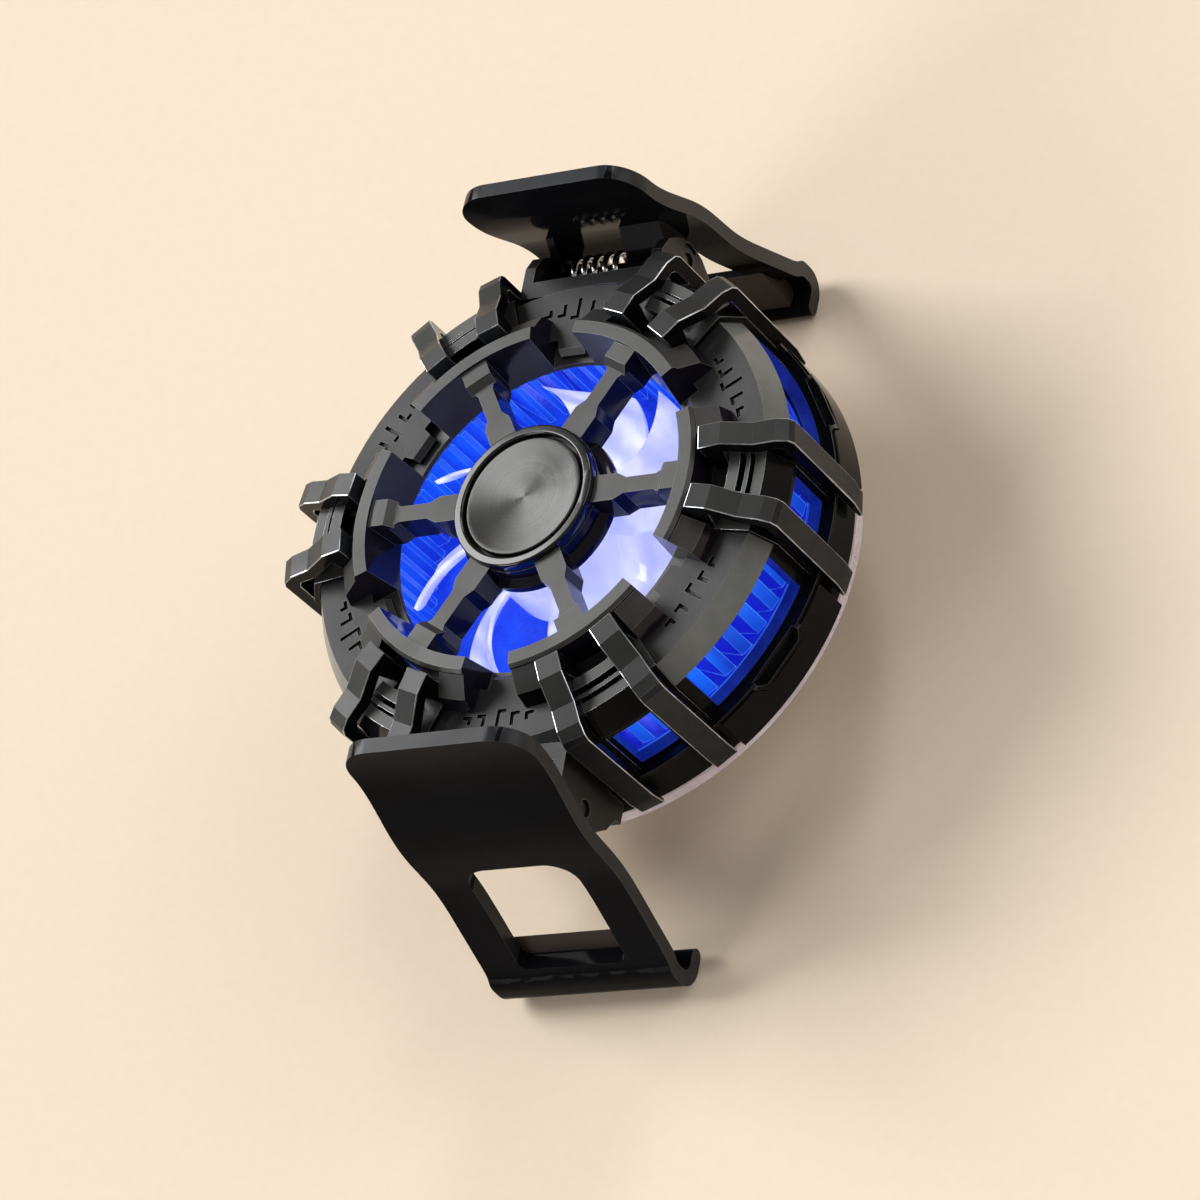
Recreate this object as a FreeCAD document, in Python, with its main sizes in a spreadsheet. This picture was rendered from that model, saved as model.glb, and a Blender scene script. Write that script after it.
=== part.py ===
import FreeCAD, Part
import math
import os
import re
import Sketcher

# Phone cooling fan: a round armoured fan with a cold plate on its back and two sprung clip arms.
# Frame: origin at the centre of the cold plate's contact face, +Z out of the front grille,
# +Y towards the upper arm. Millimetres.

doc = FreeCAD.newDocument("phone_cooling_fan")
sheet = doc.addObject("Spreadsheet::Sheet", "Sizes")

# Driving sizes: name, value in millimetres, degrees or a count, and what it measures.
SIZES = [
    ("seat_gap", 0.05, "play between pieces that sit side by side"),
    ("plate_over", 0.9, "cold plate, past the grille's opening"),
    ("plate_thick", 1.6, "cold plate"),
    ("plate_chamfer", 0.4, "cold plate, edge of the contact face"),
    ("module_margin", 1.15, "Peltier module, its corners inside the cold plate's edge"),
    ("module_thick", 2.8, "Peltier module"),
    ("ceramic_thick", 0.7, "Peltier module, each outer plate"),
    ("module_step", 0.6, "Peltier module, how far its core stands back"),
    ("sink_boss", 1.1, "heat sink, round boss on the module"),
    ("flange_thick", 0.6, "heat sink, flange under the fins"),
    ("fin_height", 5.9, "heat sink"),
    ("fin_thick", 0.6, "heat sink, fins at their inner ends"),
    ("fin_swell", 0.6, "heat sink, fins are this much thicker at the side wall"),
    ("fin_count", 60, "heat sink"),
    ("fin_lean", 32.0, "heat sink, fins lean from the radius by this angle"),
    ("opening_radius", 15.1, "clear opening of the front grille"),
    ("fin_setback", 0.3, "fins start this far outside the opening"),
    ("face_width", 8.7, "from the grille's opening to the side wall's outside"),
    ("wall_thick", 1.2, "side wall"),
    ("sink_play", 0.4, "gap from the heat sink to the side wall"),
    ("bezel_slope", 1.35, "width of the bezel's outer chamfer"),
    ("chamfer_drop", 2.1, "height of the bezel's outer chamfer"),
    ("bezel_thick", 0.9, "bezel"),
    ("led_thick", 0.5, "light diodes"),
    ("led_board_thick", 0.5, "ring board of the light diodes"),
    ("led_board_width", 4.8, "ring board of the light diodes"),
    ("led_count", 12, "light diodes"),
    ("sill_level", 6.4, "lower edge of the side windows above the cold plate's face"),
    ("large_window_angle", 15.0, "large side window, half its angle"),
    ("small_window_angle", 4.7, "small side window, half its angle"),
    ("cover_level", 0.6, "rear cover, outer face above the cold plate's face"),
    ("cover_thick", 1.0, "rear cover"),
    ("light_ring_height", 1.05, "clear ring at the back"),
    ("light_ring_reach", 0.8, "clear ring stands out from the side wall"),
    ("band_thick", 0.55, "lower band round the side wall"),
    ("ledge_reach", 0.5, "ledge at the band's top, past the band"),
    ("ledge_thick", 0.35, "ledge at the band's top"),
    ("ledge_drop", 0.3, "ledge's top below the window sill"),
    ("panel_thick", 0.65, "trim panel on the band"),
    ("panel_angle", 17.0, "trim panel, half its angle"),
    ("notch_depth", 1.2, "notch in a trim panel's upper edge"),
    ("notch_half", 2.7, "notch in a trim panel, half its narrow width"),
    ("notch_flare", 0.8, "notch in a trim panel, slope of its ends"),
    ("jog_gap", 0.1, "ledge dips into a notch with this gap"),
    ("lip_width", 1.5, "raised lip of the grille, across its top"),
    ("lip_rise", 3.3, "raised lip, above the bezel's face"),
    ("lip_lean", 0.7, "inner wall of the lip leans out by this much"),
    ("lip_angle", 22.0, "raised lip, half its angle"),
    ("ring_thick", 0.45, "ring that joins the lips under the bezel"),
    ("buttress_reach", 2.3, "wedge at a lip's end, outward"),
    ("buttress_rise", 3.0, "wedge at a lip's end, height on the bezel"),
    ("buttress_start", 13.2, "wedge at a lip's end, angle from the lip's middle"),
    ("hub_radius", 6.93, "grille hub"),
    ("hub_floor", 0.6, "underside of the grille hub below the bezel's face"),
    ("hub_rise", 1.7, "seat of the hub disc above the bezel's face"),
    ("hub_flange", 0.75, "flange under the hub, past the hub"),
    ("hub_flange_thick", 0.7, "flange under the hub"),
    ("rim_width", 0.9, "hub rim"),
    ("rim_height", 1.15, "hub rim"),
    ("disc_groove", 0.28, "groove between hub rim and disc"),
    ("disc_height", 1.0, "hub disc at its edge"),
    ("disc_dish", 0.25, "hub disc, depth of the spun dish"),
    ("spoke_half_wide", 1.3, "spoke, half width at both ends"),
    ("spoke_half_narrow", 0.77, "spoke, half width in its middle"),
    ("spoke_rise", 2.3, "spoke's top above the bezel's face"),
    ("spoke_step", 0.7, "raised block at a spoke's outer end"),
    ("tab_reach", 1.55, "bezel tab, inward past the bezel's edge"),
    ("tab_half_wide", 1.6, "bezel tab, half width at its root"),
    ("tab_half_narrow", 1.25, "bezel tab, half width at its end"),
    ("mark_inset", 2.95, "middle of the engraved marks, from the bezel's inner edge"),
    ("mark_depth", 0.3, "engraved marks"),
    ("mark_width", 0.36, "engraved marks"),
    ("mark_long", 2.1, "engraved marks, the middle one"),
    ("mark_mid", 1.3, "engraved marks beside it"),
    ("mark_short", 0.8, "engraved marks, the outer ones"),
    ("mark_foot", 0.75, "foot of a mark"),
    ("mark_step", 4.1, "angle between marks"),
    ("strap_angle", 8.8, "strap, angle from the middle of its pair"),
    ("strap_width", 2.3, "strap"),
    ("strap_thick", 1.3, "strap on the side wall"),
    ("strap_setoff", 0.7, "strap's front end starts this far outside the lip"),
    ("strap_crown", 3.9, "strap's front end above the bezel's face"),
    ("strap_knee", 2.3, "strap over the bezel's edge, above its face"),
    ("strap_shoulder", 1.4, "strap's outer corner above the bezel's face"),
    ("strap_end", 2.1, "strap's lower end above the cold plate's face"),
    ("strap_toe", 2.1, "height of the facet at a strap's lower end"),
    ("rail_thick", 0.5, "rail under a strap"),
    ("rail_width", 2.95, "rail under a strap"),
    ("cross_rise", 1.6, "cross plate between straps, above the bezel's face"),
    ("cross_width", 1.1, "cross plate between straps"),
    ("bar_width", 0.4, "thin bar between straps"),
    ("bar_rise", 1.3, "thin bar between straps, above the bezel's face"),
    ("shade_rise", 0.95, "curved plate over a small window, above the bezel's face"),
    ("motor_radius", 6.3, "motor base"),
    ("motor_floor", 0.6, "motor base, thickness"),
    ("tube_radius", 2.6, "bearing tube"),
    ("bush_radius", 1.9, "bearing bush"),
    ("shaft_radius", 0.75, "motor shaft"),
    ("shaft_play", 0.05, "running play of the shaft"),
    ("stator_radius", 5.1, "stator"),
    ("stator_height", 3.0, "stator"),
    ("stator_teeth", 6, "stator"),
    ("magnet_thick", 0.8, "rotor magnet"),
    ("air_gap", 0.45, "between stator and rotor magnet"),
    ("rotor_wall", 0.9, "fan hub, wall"),
    ("rotor_top", 0.8, "fan hub, closed end"),
    ("rotor_play", 0.3, "fan hub below the grille hub"),
    ("blade_count", 7, "fan"),
    ("blade_thick", 0.55, "fan"),
    ("blade_chord", 7.6, "fan blade, length along the turn"),
    ("blade_rise", 5.0, "fan blade, height"),
    ("blade_sweep", 30.0, "fan blade, swept from hub to tip by this angle"),
    ("blade_phase", 17.5, "fan, turned from the X axis by this angle"),
    ("tip_play", 0.4, "blade tips inside the grille's opening"),
    ("blade_play", 0.7, "blades below the grille"),
    ("board_play", 0.7, "control board, outside the cold plate"),
    ("board_thick", 0.55, "control board"),
    ("board_angle", 16.0, "control board, half its angle"),
    ("port_angle", 150.0, "direction of the charging port"),
    ("port_width", 8.94, "charging socket"),
    ("port_height", 3.2, "charging socket"),
    ("port_length", 7.3, "charging socket"),
    ("port_wall", 0.3, "charging socket, shell"),
    ("port_floor", 1.2, "charging socket, closed back"),
    ("port_inset", 0.2, "charging socket's mouth inside the trim panel's face"),
    ("tongue_width", 6.2, "charging socket, tongue"),
    ("tongue_thick", 0.7, "charging socket, tongue"),
    ("tongue_inset", 0.9, "charging socket, tongue's end inside the mouth"),
    ("port_play", 0.12, "gap round the charging socket"),
    ("screw_count", 4, "rear cover screws"),
    ("screw_radius", 0.7, "rear cover screws, thread"),
    ("screw_head", 1.3, "rear cover screws, head radius"),
    ("screw_head_thick", 0.5, "rear cover screws, head"),
    ("cover_boss", 1.7, "rear cover, screw bosses"),
    ("pin_rise", 2.7, "hinge pins above the window sill"),
    ("pin_radius", 0.75, "hinge pins"),
    ("pin_play", 0.05, "knuckle on its pin"),
    ("base_play", 0.23, "clip base beside the rails"),
    ("base_wall", 1.0, "clip base, wall behind the spring"),
    ("ear_thick", 1.1, "clip base, ears"),
    ("base_front", 1.1, "clip base, front corner inside the pin"),
    ("base_drop", 0.7, "clip base, front face below the bezel's face"),
    ("base_foot", 1.9, "clip base, foot above the side wall's lower edge"),
    ("ear_reach", 1.8, "clip base, ear past the pin"),
    ("well_play", 0.15, "spring beside the base's wall and the knuckles"),
    ("clip_screw_side", 4.4, "clip base screws from the middle"),
    ("clip_screw_rise", 1.4, "clip base screws above the base's foot"),
    ("clip_screw_radius", 0.6, "clip base screws, thread"),
    ("clip_screw_head", 1.1, "clip base screws, head radius"),
    ("wire_thick", 0.6, "torsion spring, wire"),
    ("spring_radius", 1.6, "torsion spring, to the middle of the wire"),
    ("spring_pitch", 1.1, "torsion spring"),
    ("spring_quarters", 22, "torsion spring, quarter turns"),
    ("base_leg", 1.3, "torsion spring, straight leg at the base"),
    ("arm_leg", 2.0, "torsion spring, straight leg at the arm"),
    ("upper_arm_tilt", 3.5, "upper arm stands this much further closed than the lower one"),
    ("arm_half", 9.3, "arm, half its width"),
    ("arm_thick", 1.4, "arm"),
    ("lever_rise", 14.4, "lever's edge above the pin"),
    ("lever_lean", 0.1, "lever's edge inside the pin"),
    ("lever_knee", 9.4, "straight part of the lever starts this far above the pin"),
    ("lever_corner", 3.4, "lever, corner radius"),
    ("shoulder_stand", 3.2, "arm's middle line at the shoulder, outward of the pin"),
    ("shoulder_rise", 2.2, "arm's shoulder above the pin"),
    ("waist_stand", 4.05, "arm's middle line at the waist, outward of the pin"),
    ("waist_drop", 2.9, "arm's waist below the pin"),
    ("hip_stand", 5.95, "arm's middle line at the hip, outward of the pin"),
    ("hip_drop", 8.7, "arm's hip below the pin"),
    ("jaw_stand", 8.3, "jaw wall's middle line, outward of the pin"),
    ("jaw_knee", 14.2, "jaw wall starts this far below the pin"),
    ("jaw_drop", 17.9, "jaw's lowest point below the pin"),
    ("jaw_bend", 1.5, "bend from jaw wall to jaw lip, middle radius"),
    ("lip_end", 6.1, "jaw lip ends this far outward of the pin"),
    ("window_half", 5.5, "arm window, half its width"),
    ("window_top", 1.1, "arm window's upper edge below the pin"),
    ("window_bottom", 12.8, "arm window's lower edge below the pin"),
    ("window_corner", 2.6, "arm window, upper corner radius"),
    ("window_corner_low", 0.8, "arm window, lower corner radius"),
    ("knuckle_radius", 1.65, "arm knuckles"),
    ("knuckle_thin", 0.8, "arm's left knuckle, width"),
    ("knuckle_play", 0.15, "knuckles beside the ears"),
    ("pad_half", 7.4, "jaw pad, half its width"),
    ("pad_thick", 1.2, "jaw pad, on the jaw wall"),
    ("pad_foot", 0.6, "jaw pad, on the lip"),
    ("pad_rise", 6.2, "jaw pad, height on the jaw wall"),
]

for row, (alias, number, note) in enumerate(SIZES, start=1):
    sheet.set("A%d" % row, alias)
    sheet.set("B%d" % row, str(number))
    sheet.setAlias("B%d" % row, alias)
    sheet.set("C%d" % row, note)
doc.recompute()

# Levels and radii that follow from the driving sizes. Each may use the ones above it.
DERIVED = [
    ("wall_radius", "opening_radius + face_width"),
    ("plate_radius", "opening_radius + plate_over"),
    ("module_side", "(plate_radius - module_margin) * sqrt(2)"),
    ("sink_base", "plate_thick + module_thick"),
    ("flange_base", "sink_base + sink_boss"),
    ("sink_floor", "flange_base + flange_thick"),
    ("fin_top", "sink_floor + fin_height"),
    ("led_base", "fin_top + seat_gap"),
    ("led_board_base", "led_base + led_thick"),
    ("bezel_under", "led_board_base + led_board_thick + seat_gap"),
    ("bezel_face", "bezel_under + bezel_thick"),
    ("wall_top", "bezel_face - chamfer_drop"),
    ("wall_inner", "wall_radius - wall_thick"),
    ("bezel_edge", "wall_radius - bezel_slope"),
    ("sink_radius", "wall_inner - sink_play"),
    ("fin_inner", "opening_radius + fin_setback"),
    ("blade_tip", "opening_radius - tip_play"),
    ("screw_circle", "(plate_radius + wall_inner) / 2"),
    ("board_inner", "plate_radius + board_play"),
    ("cover_top", "cover_level + cover_thick"),
    ("wall_base", "cover_level + light_ring_height + seat_gap"),
    ("ledge_top", "sill_level - ledge_drop"),
    ("ledge_base", "ledge_top - ledge_thick"),
    ("band_inner", "wall_radius + seat_gap"),
    ("band_outer", "band_inner + band_thick"),
    ("ledge_outer", "band_outer + ledge_reach"),
    ("panel_inner", "band_outer + seat_gap"),
    ("panel_outer", "panel_inner + panel_thick"),
    ("lip_outer", "opening_radius + lip_lean + lip_width"),
    ("bezel_inner", "lip_outer + seat_gap"),
    ("mark_radius", "bezel_inner + mark_inset"),
    ("lip_top", "bezel_face + lip_rise"),
    ("ring_top", "bezel_under - seat_gap"),
    ("ring_base", "ring_top - ring_thick"),
    ("on_bezel", "bezel_face + seat_gap"),
    ("hub_base", "bezel_face - hub_floor"),
    ("hub_seat", "bezel_face + hub_rise"),
    ("rail_inner", "band_inner"),
    ("rail_outer", "rail_inner + rail_thick"),
    ("strap_inner", "rail_outer + seat_gap"),
    ("strap_outer", "strap_inner + strap_thick"),
    ("strap_heel", "ledge_outer + seat_gap"),
    ("strap_front", "lip_outer + strap_setoff"),
    ("motor_top", "sink_floor + motor_floor"),
    ("rotor_inner", "stator_radius + air_gap + magnet_thick + seat_gap"),
    ("rotor_radius", "rotor_inner + rotor_wall"),
    ("rotor_cap", "hub_base - rotor_play"),
    ("rotor_ceiling", "rotor_cap - rotor_top"),
    ("rotor_base", "motor_top + rotor_play"),
    ("blade_top", "ring_base - blade_play"),
    ("pin_level", "sill_level + pin_rise"),
    ("pin_reach", "band_inner + base_wall + well_play + wire_thick / 2 + spring_radius"),
    ("base_half", "rail_outer * sin(30 - strap_angle) - rail_width / 2 * cos(30 - strap_angle) - base_play"),
    ("base_bottom", "wall_base + base_foot"),
    ("clip_screw_level", "base_bottom + clip_screw_rise"),
    ("base_inner", "ledge_outer + seat_gap"),
    ("clip_face", "pin_reach - base_front"),
    ("ear_inner", "base_half - ear_thick"),
    ("base_top", "bezel_face - base_drop"),
    ("well_face", "band_inner + base_wall"),
    ("knuckle_end", "ear_inner - knuckle_play"),
    ("spring_start", "knuckle_thin + well_play + wire_thick / 2 - knuckle_end"),
    ("spring_end", "spring_start + spring_pitch * spring_quarters / 4"),
]

levels = doc.addObject("App::VarSet", "Levels")
DERIVED_NAMES = [name for name, formula in DERIVED]
SIZE_NAMES = [alias for alias, number, note in SIZES]


def formula(text):
    """The expression for a formula that is written with the plain names of sizes."""
    def full_name(match):
        word = match.group(0)
        if word in SIZE_NAMES:
            return "Sizes." + word
        if word in DERIVED_NAMES:
            return "Levels." + word
        return word
    return re.sub(r"[a-z][a-z_]+", full_name, text)


for name, text in DERIVED:
    levels.addProperty("App::PropertyFloat", name, "Levels")
    levels.setExpression(name, formula(text))
doc.recompute()


def value(name):
    """The number that a driving or derived size has now."""
    if name in DERIVED_NAMES:
        return float(getattr(levels, name))
    return float(sheet.get(name))


parts = []


def keep(piece, node):
    """Names a finished sub-part after its node."""
    piece.Label = node
    parts.append(piece)
    return piece


def new_body(node, turn=0.0):
    """A body for one node, turned about the fan's axis."""
    body = keep(doc.addObject("PartDesign::Body", node), node)
    body.Placement = FreeCAD.Placement(FreeCAD.Vector(), FreeCAD.Rotation(FreeCAD.Vector(0, 0, 1), turn))
    return body


def origin_feature(body, role):
    return [item for item in body.Origin.OriginFeatures if item.Role == role][0]


def new_sketch(body, plane, offset=("0", "0", "0"), turn=None):
    """An empty sketch on one of the body's own planes; turn swings an XZ sketch about the axis."""
    sketch = body.newObject("Sketcher::SketchObject", "Outline")
    sketch.AttachmentSupport = (origin_feature(body, plane), [""])
    sketch.MapMode = "FlatFace"
    for axis, text in zip("xyz", offset):
        sketch.setExpression("AttachmentOffset.Base." + axis, formula(text))
    if turn:
        swing = FreeCAD.Rotation(FreeCAD.Vector(0, 1, 0), 10)
        sketch.AttachmentOffset = FreeCAD.Placement(FreeCAD.Vector(), swing)
        sketch.setExpression("AttachmentOffset.Rotation.Angle", formula(turn))
    return sketch


def pin_point(sketch, edge, end, guess, corner):
    """Ties one point of a sketch to two formulas."""
    for kind, start, text in zip(("DistanceX", "DistanceY"), guess, corner):
        index = sketch.addConstraint(Sketcher.Constraint(kind, -1, 1, edge, end, start))
        sketch.setExpression("Constraints[%d]" % index, formula(text))


def polygon(sketch, corners):
    """A closed outline of straight edges whose corners are pairs of formulas."""
    count = len(corners)
    first = sketch.GeometryCount
    angles = [2 * math.pi * i / count for i in range(count)]
    guesses = [FreeCAD.Vector(math.cos(a), math.sin(a), 0) for a in angles]
    for i in range(count):
        sketch.addGeometry(Part.LineSegment(guesses[i], guesses[(i + 1) % count]))
    for i in range(count):
        sketch.addConstraint(Sketcher.Constraint("Coincident", first + i, 2, first + (i + 1) % count, 1))
    for i, corner in enumerate(corners):
        pin_point(sketch, first + i, 1, guesses[i], corner)


def circle(sketch, centre, radius):
    """A circle whose centre and radius are formulas."""
    edge = sketch.addGeometry(Part.Circle(FreeCAD.Vector(1, 1, 0), FreeCAD.Vector(0, 0, 1), 1))
    pin_point(sketch, edge, 3, (1, 1), centre)
    index = sketch.addConstraint(Sketcher.Constraint("Radius", edge, 1))
    sketch.setExpression("Constraints[%d]" % index, formula(radius))


def turned(body, corners, sweep="360", turn=None, cut=False, axis="V_Axis", plane="XZ_Plane",
           offset=("0", "0", "0")):
    """Revolves an outline about an axis of its sketch; a partial sweep is centred on the sketch."""
    sketch = new_sketch(body, plane, offset, turn)
    polygon(sketch, corners)
    feature = body.newObject("PartDesign::Groove" if cut else "PartDesign::Revolution", "Turned")
    feature.Profile = sketch
    feature.ReferenceAxis = (sketch, [axis])
    feature.Midplane = sweep != "360"
    feature.setExpression("Angle", formula(sweep))
    return feature


def raised(body, sketch, length, cut=False, both=False, back=False):
    """Pads or pockets a sketch; both means half the length to each side."""
    feature = body.newObject("PartDesign::Pocket" if cut else "PartDesign::Pad", "Raised")
    feature.Profile = sketch
    feature.SideType = "Symmetric" if both else "One side"
    feature.Reversed = back
    feature.setExpression("Length", formula(length))
    return feature


def prism(body, corners, length, plane="XY_Plane", offset=("0", "0", "0"), turn=None, cut=False,
          both=False, back=False):
    """A straight block or cut with a polygon outline."""
    sketch = new_sketch(body, plane, offset, turn)
    polygon(sketch, corners)
    return raised(body, sketch, length, cut, both, back)


def rod(body, centre, radius, length, plane="XY_Plane", offset=("0", "0", "0"), cut=False,
        both=False, back=False):
    """A round rod or hole."""
    sketch = new_sketch(body, plane, offset)
    circle(sketch, centre, radius)
    return raised(body, sketch, length, cut, both, back)


def repeat(body, features, copies):
    """Repeats features round the fan's axis."""
    pattern = body.newObject("PartDesign::PolarPattern", "Round")
    pattern.Originals = features
    pattern.Axis = (origin_feature(body, "Z_Axis"), [""])
    pattern.Angle = 360
    pattern.setExpression("Occurrences", formula(copies))
    body.Tip = pattern
    return pattern


def box_corners(low_x, high_x, low_y, high_y):
    return [(low_x, low_y), (high_x, low_y), (high_x, high_y), (low_x, high_y)]


def ring(node, inner, outer, base, top):
    """A plain ring or, with no inner radius, a disc."""
    body = new_body(node)
    turned(body, box_corners(inner, outer, base, top))
    return body


CLUSTERS = [60.0 * k for k in range(6)]
SECTORS = [30.0 + 60.0 * k for k in range(6)]
CLIP_SECTORS = (90.0, 270.0)


# Cold plate: polished plate that touches the phone.
cold_plate = new_body("cold_plate")
turned(cold_plate, [("0", "0"), ("plate_radius - plate_chamfer", "0"), ("plate_radius", "plate_chamfer"),
                    ("plate_radius", "plate_thick"), ("0", "plate_thick")])

# Peltier module: two ceramic plates with a narrower core between them.
module = new_body("peltier_module")
half_side = "module_side / 2"
half_core = "module_side / 2 - module_step"
prism(module, box_corners("-" + half_side, half_side, "-" + half_side, half_side), "ceramic_thick",
      offset=("0", "0", "plate_thick"))
prism(module, box_corners("-(%s)" % half_core, half_core, "-(%s)" % half_core, half_core), "module_thick",
      offset=("0", "0", "plate_thick"))
prism(module, box_corners("-" + half_side, half_side, "-" + half_side, half_side), "ceramic_thick",
      offset=("0", "0", "sink_base - ceramic_thick"))

# Insulation: foam ring that fills the space round the module.
insulation = ring("insulation_ring", "0", "plate_radius", "plate_thick", "sink_base")
half_hole = "module_side / 2 + seat_gap"
prism(insulation, box_corners("-(%s)" % half_hole, half_hole, "-(%s)" % half_hole, half_hole), "module_thick",
      offset=("0", "0", "sink_base"), cut=True)

# Heat sink: boss on the module, flange, and leaning fins all round the fan.
heat_sink = new_body("heat_sink")
turned(heat_sink, [("0", "sink_base"), ("plate_radius", "sink_base"), ("plate_radius", "flange_base"),
                   ("sink_radius", "flange_base"), ("sink_radius", "sink_floor"), ("0", "sink_floor")])
screw_hole = rod(heat_sink, ("screw_circle", "0"), "screw_radius + seat_gap", "flange_thick",
                 offset=("0", "0", "sink_floor"), cut=True)
repeat(heat_sink, [screw_hole], "screw_count")
# A fin's outer end stays just inside the flange's edge, whatever its lean.
fin_run = "(sqrt(sink_radius^2 - (fin_inner * sin(fin_lean))^2) - fin_inner * cos(fin_lean) - fin_swell / 2)"
fin_root = [("fin_inner", "-fin_thick / 2"), ("fin_inner", "fin_thick / 2")]
fin_reach = "fin_inner + %s * cos(fin_lean)" % fin_run
fin_side = "%s * sin(fin_lean)" % fin_run
half_tip = "(fin_thick + fin_swell) / 2"
fin_tip = [(fin_reach, "%s + %s" % (fin_side, half_tip)), (fin_reach, "%s - %s" % (fin_side, half_tip))]
fin = prism(heat_sink, fin_root + fin_tip, "fin_height + seat_gap", offset=("0", "0", "sink_floor - seat_gap"))
repeat(heat_sink, [fin], "fin_count")

# Motor base: floor plate with the bearing tube.
motor_base = new_body("motor_base")
turned(motor_base, [("0", "sink_floor"), ("motor_radius", "sink_floor"), ("motor_radius", "motor_top"),
                    ("tube_radius", "motor_top"), ("tube_radius", "rotor_ceiling - 2 * rotor_play"),
                    ("bush_radius + seat_gap", "rotor_ceiling - 2 * rotor_play"),
                    ("bush_radius + seat_gap", "motor_top"), ("0", "motor_top")])
ring("bearing_bush", "shaft_radius + shaft_play", "bush_radius", "motor_top", "rotor_ceiling - rotor_play")

# Stator: six teeth on the bearing tube.
stator = ring("stator", "tube_radius + seat_gap", "stator_radius", "motor_top + 2 * rotor_play",
              "motor_top + 2 * rotor_play + stator_height")
tooth_gap = prism(stator, box_corners("tube_radius + 1", "stator_radius + 1", "-shaft_radius / 2", "shaft_radius / 2"),
                  "stator_height", offset=("0", "0", "motor_top + 2 * rotor_play + stator_height"), cut=True)
repeat(stator, [tooth_gap], "stator_teeth")

# Rotor magnet and shaft turn with the fan.
ring("rotor_magnet", "stator_radius + air_gap", "rotor_inner - seat_gap", "rotor_base", "rotor_ceiling - seat_gap")
shaft = keep(doc.addObject("Part::Cylinder", "Shaft"), "motor_shaft")
shaft.setExpression("Radius", formula("shaft_radius"))
shaft.setExpression("Placement.Base.z", formula("motor_top + seat_gap"))
shaft.setExpression("Height", formula("rotor_cap - seat_gap - motor_top - seat_gap"))


def blade_shape():
    """One swept fan blade: a loft through thin sections from the hub to past the tip."""
    chord, rise, thick = value("blade_chord"), value("blade_rise"), value("blade_thick")
    top = value("blade_top")
    root, tip = value("rotor_radius") - value("rotor_wall") / 2, value("blade_tip")
    stations = 4
    sections = []
    for i in range(stations):
        share = i / (stations - 1)
        radius = root + share * (tip + 1.0 - root)
        turn = math.radians(value("blade_sweep") * share ** 1.5)
        half = chord * (0.55 + 0.45 * share) / 2
        out = FreeCAD.Vector(math.cos(turn), math.sin(turn), 0)
        along = FreeCAD.Vector(-math.sin(turn), math.cos(turn), 0)
        corners = []
        for side, level in ((half, top - thick), (half, top), (-half, top - rise + thick), (-half, top - rise)):
            corners.append(out * radius + along * side + FreeCAD.Vector(0, 0, level))
        middle_low = (corners[0] + corners[3]) * 0.5 + FreeCAD.Vector(0, 0, -0.12 * rise)
        middle_high = (corners[1] + corners[2]) * 0.5 + FreeCAD.Vector(0, 0, -0.12 * rise)
        edges = [Part.LineSegment(corners[0], corners[1]).toShape(),
                 Part.Arc(corners[1], middle_high, corners[2]).toShape(),
                 Part.LineSegment(corners[2], corners[3]).toShape(),
                 Part.Arc(corners[3], middle_low, corners[0]).toShape()]
        sections.append(Part.Wire(edges))
    return Part.makeLoft(sections, True, False)


# Impeller: cup over the motor with swept blades.
bore, cap, ceiling = value("shaft_radius") + 0.01, value("rotor_cap"), value("rotor_ceiling")
cup = Part.makeCylinder(value("rotor_radius"), cap - value("rotor_base"), FreeCAD.Vector(0, 0, value("rotor_base")))
hollow = Part.makeCylinder(value("rotor_inner"), ceiling - value("rotor_base"),
                           FreeCAD.Vector(0, 0, value("rotor_base")))
shaft_hole = Part.makeCylinder(bore, value("rotor_top"), FreeCAD.Vector(0, 0, ceiling))
tip_height = value("blade_rise") + 4
tip_limit = Part.makeCylinder(value("blade_tip"), tip_height, FreeCAD.Vector(0, 0, value("blade_top") - tip_height + 2))
blade = blade_shape().common(tip_limit)
blades = []
for k in range(int(value("blade_count"))):
    blade_turn = value("blade_phase") + 360.0 * k / value("blade_count")
    turned_blade = blade.copy()
    turned_blade.rotate(FreeCAD.Vector(), FreeCAD.Vector(0, 0, 1), blade_turn)
    blades.append(turned_blade)
impeller = keep(doc.addObject("Part::Feature", "Impeller"), "impeller")
impeller.Shape = cup.fuse(blades).cut([hollow, shaft_hole])

# Ring board with light diodes that shine down into the fins.
led_ring = ring("led_board", "sink_radius - led_board_width", "sink_radius", "led_board_base",
                "led_board_base + led_board_thick")
led_middle = "sink_radius - led_board_width / 2"
led = prism(led_ring, box_corners(led_middle + " - 0.6", led_middle + " + 0.6", "-1", "1"), "led_thick",
            offset=("0", "0", "led_board_base"), back=True)
repeat(led_ring, [led], "led_count")

# Rear cover: plate round the cold plate, with screw bosses up to the heat sink.
rear_cover = ring("rear_cover", "plate_radius + seat_gap", "wall_inner - seat_gap", "cover_level", "cover_top")
boss = rod(rear_cover, ("screw_circle", "0"), "cover_boss", "flange_base - cover_top",
           offset=("0", "0", "cover_top"))
bore = rod(rear_cover, ("screw_circle", "0"), "screw_radius + seat_gap", "flange_base",
           offset=("0", "0", "flange_base"), cut=True)
counterbore = rod(rear_cover, ("screw_circle", "0"), "screw_head + seat_gap", "screw_head_thick + cover_level",
                  offset=("0", "0", "cover_level + screw_head_thick"), cut=True)
repeat(rear_cover, [boss, bore, counterbore], "screw_count")

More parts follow.
